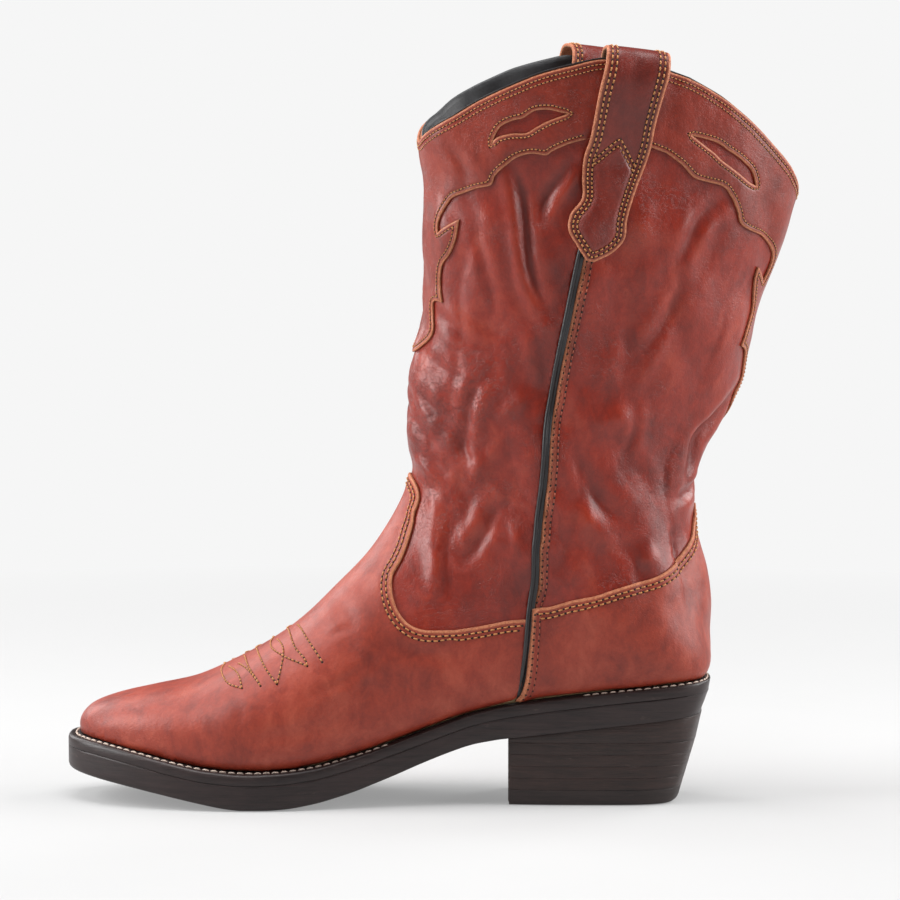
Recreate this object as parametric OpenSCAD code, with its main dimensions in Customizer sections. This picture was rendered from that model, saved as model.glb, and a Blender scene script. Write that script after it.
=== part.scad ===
// Western boot, left foot. Millimetres, +Z up, toe towards -X, heel towards +X.
// Origin: middle of the footprint, on the floor. The outer side of the foot faces -Y.

/* [Leather] */
// thickness of the outer leathers
upper_t = 1.5; // [1:0.1:2]
// thickness of the lining leather
lining_t = 1.0; // [0.6:0.1:1.2]
// air left between two layers
layer_gap = 0.35; // [0.2:0.05:0.6]
// thickness of the pull straps
strap_t = 1.8; // [1.4:0.1:2.4]
// how far a pull strap stands off the shaft at the collar
strap_off = 11; // [7:0.5:12]
// width of the side piping, in degrees around the shaft
piping_deg = 2.4; // [1.6:0.2:3.6]

/* [Sole] */
// thickness of the welt
welt_t = 3; // [2.4:0.2:4]
// thickness of the insole board
insole_t = 2.2; // [1.8:0.2:3]
// thickness of the sock liner
sock_t = 1.2; // [0.8:0.2:2]
// thickness of the steel shank
shank_t = 1.6; // [1.2:0.2:2]

/* [Heel] */
// thickness of the rubber heel cap
cap_t = 7; // [5:0.5:9]
// height of the flat top of the stacked lifts
stack_top = 28.4; // [26:0.2:29]
// radius of the heel nails
nail_r = 1.1; // [0.8:0.1:1.5]
// play around a nail
nail_play = 0.15; // [0.1:0.05:0.3]

/* [Hidden] */

tan_edge = [0.62, 0.30, 0.20];
cognac = [0.52, 0.20, 0.14];
cognac_2 = [0.58, 0.24, 0.17];
black = [0.10, 0.10, 0.11];
sole_col = [0.20, 0.14, 0.13];
lift_col = [0.26, 0.18, 0.15];
board = [0.72, 0.62, 0.45];
cork = [0.66, 0.47, 0.30];
steel = [0.72, 0.73, 0.75];
play = nail_r + nail_play;

// ---- the boot's own shape: one row per section from the toe tip to the collar ----
// front x, front z, back or bottom x, back or bottom z, half width, share of the
// section where it is widest, roundness in front, roundness behind, middle y, twist
ST = [
 [-160.0, 29.8, -160.0, 29.8, 0.0, .40, 2.1, 2.6, 5.0, 0],
 [-159.8, 35.4, -158.3, 27.9, 9.5, .40, 2.1, 3.0, 4.8, 0],
 [-155.0, 40.6, -153.0, 25.9, 17.5, .40, 2.2, 3.8, 4.4, 0],
 [-145.0, 44.6, -142.5, 24.0, 25.8, .40, 2.2, 4.5, 3.6, 0],
 [-127.5, 48.8, -126.0, 21.2, 34.0, .38, 2.2, 5.0, 2.2, 0],
 [-107.0, 53.6, -107.0, 18.0, 39.5, .36, 2.2, 5.5, 0.6, 0],
 [-85.2, 63.8, -86.5, 16.4, 42.5, .34, 2.1, 5.5, -0.6, 0],
 [-63.4, 77.4, -64.5, 17.2, 42.0, .34, 2.0, 5.5, -0.8, 0],
 [-43.6, 96.0, -40.0, 22.5, 39.5, .36, 2.0, 5.5, 0.2, 0],
 [-29.6, 110.6, -14.0, 31.2, 36.5, .38, 2.0, 5.5, 1.2, 0],
 [-19.6, 124.4, 14.0, 41.0, 34.5, .40, 2.0, 5.5, 1.4, 0],
 [-13.0, 138.0, 42.0, 46.8, 33.5, .42, 2.0, 5.4, 1.0, 0],
 [-10.4, 150.0, 74.0, 50.8, 34.0, .44, 2.0, 5.2, 0.5, 0],
 [-11.2, 159.0, 104.0, 54.0, 35.5, .45, 2.0, 4.8, 0.0, 0.5],
 [-11.4, 167.5, 121.4, 58.5, 36.0, .46, 2.0, 3.6, 0.0, 1.5],
 [-10.0, 179.0, 122.8, 78.0, 36.0, .47, 2.0, 2.7, 0.0, 3.0],
 [-8.5, 191.0, 121.0, 104.0, 36.0, .48, 2.0, 2.2, 0.0, 4.5],
 [-7.0, 204.0, 118.0, 130.0, 36.0, .50, 2.0, 2.0, 0.0, 6.0],
 [-6.0, 217.0, 117.5, 147.0, 36.5, .50, 2.0, 2.0, 0.0, 7.5],
 [-5.5, 231.0, 127.5, 170.0, 37.5, .50, 2.0, 2.0, 0.0, 9.0],
 [-5.5, 247.0, 141.5, 202.0, 38.5, .50, 2.0, 2.0, 0.0, 10.5],
 [-5.5, 263.0, 151.5, 232.0, 39.5, .50, 2.0, 2.0, 0.0, 11.5],
 [-6.0, 280.0, 159.5, 257.0, 40.0, .50, 2.0, 2.0, 0.0, 12.0],
 [-8.5, 298.0, 164.5, 275.0, 39.5, .50, 2.0, 2.0, 0.0, 12.0],
 [-11.0, 322.0, 169.0, 298.0, 39.0, .50, 2.0, 2.0, 0.0, 12.0],
 [-13.0, 348.0, 172.0, 322.0, 38.5, .50, 2.0, 2.0, 0.0, 12.0],
 [-15.0, 372.0, 175.0, 346.0, 38.0, .50, 2.0, 2.0, 0.0, 12.0]];
LAST = len(ST) - 1;

// lower edge of the upper, degrees from the front ridge at each section
LOW = [[0, 70], [.1, 80], [.3, 96], [.6, 103], [1, 107], [1.5, 110], [2, 113],
 [2.5, 115.5], [3, 119], [4, 124], [5, 128.7], [6, 132], [7, 134.5], [8, 137.5],
 [9, 139.5], [10.8, 139.8]];
// side seam, degrees from the front ridge at each section
SEAM = [[10.8, 139.8], [11, 133], [11.2, 125.5], [11.4, 118], [11.65, 109], [12, 98.5],
 [12.25, 92.5], [13, 83], [13.7, 78], [14.5, 77], [16, 79.5], [17, 82], [18, 83],
 [19, 80.5], [20, 78.5], [21, 78], [22, 80], [23, 83.5], [24, 86], [26, 88]];
// lower edge behind the side seam, by share of the way from seam to seam
LOWB = [[0, 10.85], [.074, 11], [.148, 11.25], [.2, 11.5], [.264, 12], [.309, 13],
 [.329, 13.5], [.358, 13.78], [.392, 13.9], [.441, 13.95], [.5, 13.97]];
// collar, section number by degrees from the front ridge
COLLAR = [[0, 22.96], [10, 23.09], [30, 23.5], [43, 23.87], [54, 24.19], [64, 24.48],
 [73, 24.69], [81, 24.87], [92, 24.94], [100, 24.84], [107, 24.75], [117, 24.52],
 [128, 24.18], [141, 23.75], [162, 23.2], [180, 22.96]];
// top edge of the vamp, by share of the way from the ridge to its side edge
VTOP = [[0, 11.75], [.20, 11.75], [.235, 11.5], [.25, 10.9], [.28, 10.4], [.315, 9.94],
 [.34, 9.6], [.38, 9.48], [.45, 9.46], [.52, 9.58], [.58, 9.83], [.63, 10.3],
 [.70, 10.95], [.88, 11.56], [1, 11.9]];
// top edge of the counter cover, by share of the way from seam to seam
CTOP = [[0, 12.25], [.047, 12.42], [.084, 13.04], [.125, 14.1], [.183, 14.88],
 [.24, 15.43], [.29, 15.86], [.355, 16.31], [.42, 16.68], [.48, 16.97], [.5, 17.15]];
// lower edge of the front collar overlay, by share of the way to the seam
OFRONT = [[0, 16.9], [.14, 17.3], [.17, 18.4], [.20, 19.8], [.24, 20.95], [.27, 21.3],
 [.33, 21.66], [.40, 21.82], [.49, 22], [.56, 22.13], [.62, 22.66], [.67, 22.93],
 [.73, 23.04], [.80, 23.14], [.85, 23.32], [1, 23.45]];
// lower edge of the back collar overlay, by share of the way from seam to seam
OBACK = [[0, 23.45], [.06, 23.46], [.10, 23.3], [.135, 22.96], [.19, 22.87], [.22, 22.6],
 [.24, 22.3], [.26, 21.98], [.31, 21.84], [.365, 21.6], [.39, 21], [.40, 20.5],
 [.41, 20.1], [.45, 19.9], [.5, 18.9]];
// height of the feather line, where leather meets welt, by x
FEATHER = [[-175, 30.6], [-168, 30.2], [-162, 29.3], [-150, 27.8], [-136, 25.3],
 [-120, 21.8], [-104, 18.6], [-85, 16.9], [-66, 17.6], [-51, 19.5], [-29, 25.6],
 [-6, 33.9], [17, 42.4], [31, 45.6], [48, 48], [79, 51.8], [104, 54.4], [130, 57]];
// height of the underside of the outsole, by x
TREAD = [[-175, 16], [-167, 14.2], [-160, 12.7], [-152, 11.3], [-136, 8.8], [-120, 5.9],
 [-104, 2.8], [-94, 0.9], [-86.5, 0], [-74.5, 0], [-64, 0.6], [-51, 2.8], [-35, 7.4],
 [-18, 14], [-6, 19.2], [6, 24], [17, 27.9], [32, 30.5], [130, 41.5]];
// outline of the upper at the feather: x, outer side y, inner side y
UPPER = [[-161.6, 2.6, 7.4], [-161.2, -2.0, 11.8], [-160, -6.2, 15.8],
 [-158, -10, 19.3], [-155, -13.9, 22.7], [-150, -18.8, 26.9], [-144, -23.2, 30.4],
 [-136, -28, 33.9], [-127, -32.2, 36.6], [-117, -35.9, 38.6], [-107, -38.3, 39.5],
 [-97, -40, 39.8], [-86, -40.7, 39.4], [-75, -40.5, 38.8], [-64, -38.9, 37.5],
 [-52, -36, 35.5], [-40, -33.4, 33.8], [-27, -30.6, 32.1], [-13, -28.8, 31],
 [0, -27.6, 30.3], [14, -27.2, 29.9], [27, -27, 29.4], [41, -26.4, 28.3],
 [56, -26, 27.5], [72, -26.1, 27.2], [86, -26.6, 27.2], [96, -26.5, 27],
 [104, -25.7, 26.3], [110, -24.4, 25.2], [115, -22.2, 23.2], [118.5, -19, 20],
 [121, -14, 14.8], [122.4, -6.5, 7]];
// outline of the outsole, row for row beside the upper's
OUTER = [[-166.8, 2, 8], [-166.2, -4.6, 14.2], [-164.6, -9.6, 19], [-162, -14, 23],
 [-158, -18.6, 27.2], [-152, -23.8, 31.6], [-145, -28.6, 35.4], [-136, -33.6, 38.9],
 [-127, -37.6, 41.6], [-117, -41.1, 43.6], [-107, -43.6, 44.7], [-97, -45.2, 45.1],
 [-86, -45.9, 44.6], [-75, -45.6, 43.7], [-64, -44, 42.1], [-52, -41, 39.8],
 [-40, -38, 37.6], [-27, -34.8, 35.6], [-13, -32.4, 34.2], [0, -30.8, 33.2],
 [14, -30, 32.5], [27, -29.6, 31.8], [41, -29, 30.7], [56, -28.6, 29.9],
 [72, -28.8, 29.7], [86, -29.2, 29.7], [97, -29, 29.4], [106, -28, 28.5],
 [112.5, -26.4, 27.2], [117.5, -23.8, 24.8], [121, -20.4, 21.4], [123.6, -15, 15.8],
 [124.8, -7, 7.5]];

function tab(T, x, i = 0) = i > len(T) - 2 ? T[len(T) - 1][1] :
 x <= T[i + 1][0] ? T[i][1] + (T[i + 1][1] - T[i][1])
 * (max(x, T[i][0]) - T[i][0]) / (T[i + 1][0] - T[i][0]) : tab(T, x, i + 1);
function zf(x) = tab(FEATHER, x);
function zs(x) = tab(TREAD, x);

function row(t) = let (i = min(floor(t), LAST - 1), f = t - i,
 p1 = ST[i], p2 = ST[i + 1],
 p0 = i == 0 ? 2 * p1 - p2 : ST[i - 1],
 p3 = i == LAST - 1 ? 2 * p2 - p1 : ST[i + 2])
 0.5 * (2 * p1 + (p2 - p0) * f + (2 * p0 - 5 * p1 + 4 * p2 - p3) * f * f
 + (3 * p1 - p0 - 3 * p2 + p3) * f * f * f);
// a point of the boot's surface: section t, p degrees from the front ridge
function base(t, p) = let (q = row(t), c = cos(p), s = sin(p), n = c >= 0 ? q[6] : q[7],
 r = pow(pow(abs(c), n) + pow(abs(s), n), -1 / n),
 dx = q[0] - q[2], dz = q[1] - q[3], L = max(norm([dx, dz]), 1e-6),
 along = r * c * (c >= 0 ? 1 - q[5] : q[5]) * L, y = -r * s * q[4],
 m = (0.5 - q[5]) * L, a0 = along - m, a1 = a0 * cos(q[9]) + y * sin(q[9]) + m + q[5] * L,
 y1 = y * cos(q[9]) - a0 * sin(q[9]))
 [q[2] + dx / L * a1, y1 + q[8], q[3] + dz / L * a1];
function unit(v) = v / max(norm(v), 1e-9);
function side(t, p) = let (tm = max(min(t, LAST - .02), .03))
 unit(cross(base(tm, p + .5) - base(tm, p - .5), base(tm + .02, p) - base(tm - .02, p)));
// the same, d millimetres outside the surface
function surf(t, p, d) = base(t, p) + side(t, p) * d;

function pmax(t) = t < 10.8 ? tab(LOW, t) : tab(SEAM, t);
// front half: u from -1 to 1 between the side edges, cut back by e degrees at the sides
function fp(u, t, e) = u * (pmax(t) - e);
// back half: u from 0 to 1 from seam to seam
function bp(u, t, e) = let (s = tab(SEAM, t) + e) s + u * (360 - 2 * s);
function fold(u) = u > .5 ? 1 - u : u;

// a closed sheet from two equal grids of points; the first row may be one point
module sheet(A, B, nu, nv, pole = false) {
 n = nu * nv;
 k0 = pole ? 1 : 0;
 top = [for (j = [k0:nv - 2]) for (i = [0:nu - 2]) each
  [[j * nu + i, j * nu + i + 1, (j + 1) * nu + i + 1],
  [j * nu + i, (j + 1) * nu + i + 1, (j + 1) * nu + i]]];
 cap = pole ? [for (i = [0:nu - 2]) [0, nu + i + 1, nu + i]] : [];
 f1 = concat(cap, top);
 rim = concat([for (i = [0:nu - 2]) [(nv - 1) * nu + i, (nv - 1) * nu + i + 1]],
  pole ? [] : [for (i = [0:nu - 2]) [i + 1, i]],
  [for (j = [k0:nv - 2]) [j * nu, (j + 1) * nu]],
  [for (j = [k0:nv - 2]) [(j + 1) * nu + nu - 1, j * nu + nu - 1]],
  pole ? [[0, nu], [2 * nu - 1, 0]] : []);
 f2 = [for (f = f1) [f[2] + n, f[1] + n, f[0] + n]];
 f3 = [for (e = rim) each [[e[0], e[1], e[1] + n], [e[0], e[1] + n, e[0] + n]]];
 polyhedron(points = concat(A, B), faces = concat(f1, f2, f3), convexity = 8);
}
// part of the boot's surface between two section curves, from depth d0 out to d1
module front_sheet(U, nv, LO, HI, d0, d1, e = 0, hi_by_angle = false, pole = false) {
 g = [for (j = [0:nv - 1]) for (u = U)
  let (lo = is_num(LO) ? LO : tab(LO, abs(u)),
   th = hi_by_angle ? tab(HI, abs(u) * 86) : is_num(HI) ? HI : tab(HI, abs(u)),
   w = hi_by_angle ? tab(HI, abs(fp(u, th, e))) : th,
   t = lo + (w - lo) * j / (nv - 1)) [t, fp(u, t, e)]];
 nu = len(U);
 pt = [-160, 5, 29.8];
 A = [for (k = [0:len(g) - 1]) pole && k < nu ? pt - [d1, 0, 0] : surf(g[k][0], g[k][1], d1)];
 B = [for (k = [0:len(g) - 1]) pole && k < nu ? pt - [d0, 0, 0] : surf(g[k][0], g[k][1], d0)];
 sheet(A, B, nu, nv, pole);
}
module back_sheet(U, nv, LO, HI, d0, d1, e = 0, hi_by_angle = false) {
 g = [for (j = [0:nv - 1]) for (u = U)
  let (lo = is_num(LO) ? LO : tab(LO, fold(u)),
   th = hi_by_angle ? tab(HI, 88 + fold(u) * 184) : is_num(HI) ? HI : tab(HI, fold(u)),
   w = hi_by_angle ? tab(HI, 180 - abs(180 - bp(u, th, e))) : th,
   t = lo + (w - lo) * j / (nv - 1)) [t, bp(u, t, e)]];
 nu = len(U);
 sheet([for (q = g) surf(q[0], q[1], d1)], [for (q = g) surf(q[0], q[1], d0)], nu, nv);
}
function both(U) = concat([for (i = [len(U) - 1:-1:1]) -U[i]], U);
function tofro(U) = concat(U, [for (i = [len(U) - 2:-1:0]) 1 - U[i]]);
U_vamp = both([0, .1, .2, .235, .25, .28, .315, .34, .38, .45, .52, .58, .63, .70, .88, 1]);
U_front = both([0, .12, .24, .36, .48, .6, .72, .86, 1]);
U_over = both([0, .14, .17, .20, .24, .27, .33, .40, .49, .56, .62, .67, .80, .9, 1]);
U_back = tofro([0, .04, .074, .11, .148, .2, .235, .264, .309, .329, .358, .392, .441, .5]);
U_oback = tofro([0, .06, .135, .19, .24, .26, .31, .365, .39, .41, .45, .5]);
d_top = layer_gap;
d_in = -upper_t - layer_gap - lining_t;

module vamp() color(cognac_2)
 front_sheet(U_vamp, 15, 0, VTOP, d_top, d_top + upper_t, piping_deg / 2, pole = true);
module heel_counter_cover() color(cognac_2)
 back_sheet(U_back, 8, LOWB, CTOP, d_top, d_top + upper_t, piping_deg / 2);
module front_shaft_panel() color(cognac) {
 lo = [for (v = VTOP) [v[0], v[1] - .7]];
 front_sheet(U_vamp, 17, lo, COLLAR, -upper_t, 0, piping_deg / 2, hi_by_angle = true);
}
module back_shaft_panel() color(cognac) {
 lo = [for (v = CTOP) [v[0], v[1] - .6]];
 back_sheet(U_back, 16, lo, COLLAR, -upper_t, 0, piping_deg / 2, hi_by_angle = true);
}
// leaf-shaped openings in the collar overlays, drawn as x and z on the outer side
leaf_f = [[56, 310], [50, 311.5], [44, 310.5], [39.5, 307.5], [34, 306.5], [29.5, 303.5],
 [26.5, 298], [33, 300.5], [41, 301], [45, 303.3], [51, 306.5]];
leaf_b = [[115, 299.8], [120, 298.2], [126, 296.2], [130.5, 293.2], [134, 290.2],
 [138, 287.5], [141.5, 282.5], [141, 279], [137, 282.2], [132, 285.2], [127, 288.6],
 [123.5, 292.6], [119, 296.4]];
module leaf(P, y0, dy) translate([0, y0, 0]) rotate([90, 0, 0])
 linear_extrude(height = dy) polygon(P);
module front_collar_overlay() color(cognac) difference() {
 front_sheet(U_over, 5, OFRONT, COLLAR, d_top, d_top + upper_t, piping_deg / 2,
  hi_by_angle = true);
 leaf(leaf_f, -8, 42);
 translate([-11, 0, 6]) leaf(leaf_f, 60, 46);
}
module back_collar_overlay() color(cognac) difference() {
 back_sheet(U_oback, 5, OBACK, COLLAR, d_top, d_top + upper_t, piping_deg / 2,
  hi_by_angle = true);
 leaf(leaf_b, -4, 40);
 translate([-16, 0, 6]) leaf(leaf_b, 56, 46);
}
// ribbon along the side seam, s = 1 on the outer side, -1 on the inner side
module piping(s) {
 T = [10.9, 11.2, 11.5, 11.8, 12.25, 13, 13.7, 14.5, 15.3, 16, 17, 18, 19, 20, 21, 22,
  23, 23.9, 24.8];
 h = piping_deg / 2 - .25;
 g = [for (t = T) for (k = [-1, 0, 1]) [t, s * (tab(SEAM, t) + k * h)]];
 A = [for (i = [0:len(g) - 1]) surf(g[i][0], g[i][1], d_top + (i % 3 == 1 ? 1.9 : .9))];
 B = [for (q = g) surf(q[0], q[1], -.9)];
 if (s > 0) sheet(A, B, 3, len(T)); else sheet(B, A, 3, len(T));
}
module side_piping_outer() color(black) piping(1);
module side_piping_inner() color(black) piping(-1);

// pull strap: section number, depth, left and right edge in degrees
STRAP = [[20.84, 3.1, 80.5, 83], [21.1, 3.1, 76.5, 88.5], [21.4, 3.1, 73, 91],
 [21.72, 3.1, 73, 90.5], [22.1, 3.1, 76, 91], [22.6, 3.1, 76, 92.5], [23.1, 3.1, 76.5, 94.5],
 [23.45, 4.3, 78, 95.5], [23.85, 6.2, 79, 96], [24.3, 9.4, 80, 97], [24.75, strap_off, 81.5, 98.5],
 [24.98, strap_off - 1.3, 82, 99], [25.1, strap_off - 4, 82.3, 99.3], [25.13, 0, 82.6, 99.4],
 [25.09, -5.6, 82.6, 99.4], [24.98, -8.6, 82.5, 99.2], [24.75, -10.2, 82, 98.6],
 [24.3, -9.6, 81.5, 98], [23.85, -7.6, 81, 97.5], [23.4, -5.4, 81, 97.5],
 [22.9, -4.7, 81, 97.5], [22.3, -4.7, 81, 97.5]];
module strap(s) {
 n = len(STRAP);
 K = 24;
 g = [for (i = [0:n - 1]) let (a = STRAP[max(i - 1, 0)], b = STRAP[min(i + 1, n - 1)],
  v = unit([(b[0] - a[0]) * K, b[1] - a[1]])) [-v[1] / K, v[0]] * strap_t / 2];
 A = [for (i = [0:n - 1]) for (f = [0, .5, 1]) let (q = STRAP[i])
  surf(q[0] + g[i][0], s * (q[2] + (q[3] - q[2]) * f), q[1] + g[i][1])];
 B = [for (i = [0:n - 1]) for (f = [0, .5, 1]) let (q = STRAP[i])
  surf(q[0] - g[i][0], s * (q[2] + (q[3] - q[2]) * f), q[1] - g[i][1])];
 if (s > 0) sheet(A, B, 3, n); else sheet(B, A, 3, n);
}
module pull_strap_outer() color(cognac_2) strap(1);
module pull_strap_inner() color(cognac_2) strap(-1);

COLLAR_IN = [for (c = COLLAR) [c[0], c[1] - .03]];
module front_shaft_lining() color(black)
 front_sheet(U_front, 16, 11.35, COLLAR_IN, d_in, d_in + lining_t, .4, hi_by_angle = true);
module back_shaft_lining() color(black)
 back_sheet(U_back, 19, [for (l = LOWB) [l[0], l[1] + .12]], COLLAR_IN, d_in, d_in + lining_t, .4,
  hi_by_angle = true);
module vamp_lining() color(black)
 front_sheet(U_front, 14, 0.3, 11.2, d_in, d_in + lining_t, 4);
module toe_puff() color(board)
 front_sheet(both([0, .15, .3, .45, .6, .75, .88, 1]), 7, 0.3, 3.4, -upper_t, 0, 4);
module counter_stiffener() color(board)
 back_sheet(U_back, 7, [for (l = LOWB) [l[0], l[1] + .12]], [for (v = CTOP) [v[0], v[1] - .72]],
  -upper_t, 0, piping_deg);

// flat or curved plate: rows of [x, near y, far y], pulled in by c, between two heights
function inset(T, c) = let (n = len(T)) [for (i = [0:n - 1])
 let (a = T[max(i - 1, 0)], b = T[min(i + 1, n - 1)],
  u = unit([b[0] - a[0], b[1] - a[1]]), w = unit([b[0] - a[0], b[2] - a[2]]),
  e = i == 0 ? 1 : i == n - 1 ? -1 : 0)
 [[T[i][0] + (e != 0 ? e * c : -u[1] * c), T[i][1] + (e != 0 ? .2 * c : u[0] * c)],
  [T[i][0] + (e != 0 ? e * c : w[1] * c), T[i][2] - (e != 0 ? .2 * c : w[0] * c)]]];
module plate(P, top, bot) {
 // P: rows of near and far point; top and bot: lists of height pairs
 n = len(P);
 A = [for (i = [0:n - 1]) each [[P[i][0][0], P[i][0][1], top[i][0]],
  [P[i][1][0], P[i][1][1], top[i][1]]]];
 B = [for (i = [0:n - 1]) each [[P[i][0][0], P[i][0][1], bot[i][0]],
  [P[i][1][0], P[i][1][1], bot[i][1]]]];
 sheet(B, A, 2, n);
}
function pick(P, a, b) = [for (i = [a:b]) P[i]];
function zz(P, k) = [for (r = P) [zf(r[0][0]) + k, zf(r[1][0]) + k]];
function yy(P) = [for (r = P) [zs(r[0][0]), zs(r[1][0])]];

NAILS = [[48, -16], [48, 17], [70, -18], [70, 19], [92, -15], [92, 16], [104, 0.5]];
PINS = [[42, -19], [42, 20], [62, 0.5], [72, -21], [72, 22], [98, -11], [98, 12]];
RIVETS = [[-34, 0.5], [60, 0.5]];
module bores(L, r, z0, z1) for (p = L) translate([p[0], p[1], z0]) cylinder(r = r, h = z1 - z0, $fn = 16);

module insole_board() color(board) difference() {
 P = inset(UPPER, 2.1);
 plate(P, zz(P, .1 + insole_t), zz(P, .1));
 bores(NAILS, play, 40, 70);
 bores(RIVETS, 2.15, 20, 60);
}
module sock_liner() color(cognac_2) {
 P = inset(UPPER, 6.4);
 plate(pick(P, 1, len(P) - 2), zz(pick(P, 1, len(P) - 2), insole_t + sock_t + .5),
  zz(pick(P, 1, len(P) - 2), insole_t + .5));
}
SHX = [-48, -46, -40, -30, -18, -6, 6, 18, 32, 48, 62, 72, 76, 78];
module steel_shank() color(steel) difference() {
 P = [for (x = SHX) let (w = x < -47 || x > 77 ? 4 : x < -45 || x > 75 ? 6 : 7.5)
  [[x, .5 - w], [x, .5 + w]]];
 plate(P, zz(P, -2.6 + shank_t), zz(P, -2.6));
 bores(RIVETS, 2.15, 10, 60);
}
module shank_rivets() color(steel)
 for (p = RIVETS) translate([p[0], p[1], zf(p[0]) - 2.75]) cylinder(r = 2, h = 4.9, $fn = 20);
module cork_filler() color(cork) difference() {
 P = inset(UPPER, 6.2);
 plate(P, [for (r = P) [for (q = r) zf(q[0]) - .1 - 2.7 * min(max((q[0] + 56) / 4, 0), 1)]],
  zz(P, -welt_t - 2.8));
 bores(NAILS, play, 40, 70);
}
function ring(P, k) = let (n = len(P)) concat([for (r = P) [r[0][0], r[0][1], zf(r[0][0]) + k]],
 [for (i = [n - 1:-1:0]) [P[i][1][0], P[i][1][1], zf(P[i][1][0]) + k]]);
module welt() color(sole_col) {
 I = inset(UPPER, 5.6);
 M = inset(UPPER, -.4);
 n = len(UPPER);
 O = [for (r = OUTER) [[r[0], r[1]], [r[0], r[2]]]];
 R = [ring(I, -.2), ring(M, -.2), ring(O, -2.8), ring(O, -welt_t - 2.8), ring(I, -welt_t - 2.8)];
 m = 2 * n;
 F = [for (k = [0:4]) for (i = [0:m - 1]) let (j = (i + 1) % m, q = (k + 1) % 5) each
  [[k * m + i, q * m + j, q * m + i], [k * m + i, k * m + j, q * m + j]]];
 polyhedron(points = [for (r = R) each r], faces = F, convexity = 6);
}
module outsole() color(sole_col) difference() {
 P = [for (r = OUTER) [[r[0], r[1]], [r[0], r[2]]]];
 // the seat tapers in towards the heel
 Q = [for (r = OUTER) let (k = max(r[0] - 60, 0) / 65, x = r[0] - 2.5 * k * k)
  [[x, r[1] + .6 * k], [x, r[2] - .6 * k]]];
 A = zz(P, -welt_t - 3);
 B = yy(Q);
 sheet([for (i = [0:len(P) - 1]) each [[Q[i][0][0], Q[i][0][1], B[i][0]],
  [Q[i][1][0], Q[i][1][1], B[i][1]]]],
  [for (i = [0:len(P) - 1]) each [[P[i][0][0], P[i][0][1], A[i][0]],
  [P[i][1][0], P[i][1][1], A[i][1]]]], 2, len(P));
 bores(NAILS, play, 20, 70);
}
// heel outline: share of the length from the breast, share of the half width
DEE = [[0, .94], [.12, .975], [.3, 1], [.5, 1], [.66, .99], [.78, .96], [.86, .9],
 [.92, .81], [.96, .68], [.985, .48], [1, .2]];
function dee(z, r = 0) = let (x0 = 33.3, x1 = 109.7 + z * .295 - r, w = 26.4 + z * .058 - r * .7)
 [for (d = DEE) [[x0 + (x1 - x0) * d[0], .4 - w * d[1]], [x0 + (x1 - x0) * d[0], .4 + w * d[1]]]];
module slab(z0, z1, r = 0) {
 P = dee(z0, r);
 Q = dee(z1);
 n = len(P);
 sheet([for (p = P) each [[p[0][0], p[0][1], z0], [p[1][0], p[1][1], z0]]],
  [for (p = Q) each [[p[0][0], p[0][1], z1], [p[1][0], p[1][1], z1]]], 2, n);
}
module heel_wedge() color(lift_col) difference() {
 P = dee(stack_top);
 Q = dee(37);
 sheet([for (p = P) each [[p[0][0], p[0][1], stack_top + .1], [p[1][0], p[1][1], stack_top + .1]]],
  [for (p = Q) each [[p[0][0], p[0][1], zs(p[0][0]) - .1], [p[1][0], p[1][1], zs(p[1][0]) - .1]]],
  2, len(P));
 bores(NAILS, play, 20, 70);
}
lift_h = (stack_top - cap_t) / 4;
module lift(k) difference() {
 slab(cap_t + (k - 1) * lift_h + .1, cap_t + k * lift_h);
 if (k > 1) bores(NAILS, play, 0, 60);
 if (k == 1) bores(NAILS, play, cap_t + 2, 60);
 if (k < 3) bores(PINS, .95, 0, cap_t + 7.2);
}
module heel_lift_1() color(lift_col) lift(1);
module heel_lift_2() color(lift_col) lift(2);
module heel_lift_3() color(lift_col) lift(3);
module heel_lift_4() color(lift_col) lift(4);
module heel_cap() color(sole_col) difference() {
 union() {
  slab(0, 2.5, 2.2);
  slab(2.5, cap_t);
 }
 bores(PINS, .95, -1, 20);
 bores(PINS, 1.9, -1, .8);
}
module heel_nails() color(steel) for (p = NAILS)
 translate([p[0], p[1], cap_t + 2.3])
 cylinder(r = nail_r, h = zf(p[0]) + insole_t - cap_t - 2.4, $fn = 16);
module heel_cap_pins() color(steel) for (p = PINS) translate([p[0], p[1], 0]) {
 translate([0, 0, .1]) cylinder(r = 1.75, h = .6, $fn = 16);
 translate([0, 0, .5]) cylinder(r = .8, h = cap_t + 6, $fn = 12);
}

vamp();
heel_counter_cover();
front_shaft_panel();
back_shaft_panel();
front_collar_overlay();
back_collar_overlay();
side_piping_outer();
side_piping_inner();
pull_strap_outer();
pull_strap_inner();
front_shaft_lining();
back_shaft_lining();
vamp_lining();
toe_puff();
counter_stiffener();
insole_board();
sock_liner();
steel_shank();
shank_rivets();
cork_filler();
welt();
outsole();
heel_wedge();
heel_lift_1();
heel_lift_2();
heel_lift_3();
heel_lift_4();
heel_cap();
heel_nails();
heel_cap_pins();
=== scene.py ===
import math

import bpy
import numpy as np
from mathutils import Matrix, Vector, noise
from mathutils.geometry import delaunay_2d_cdt
from mathutils.kdtree import KDTree


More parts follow.
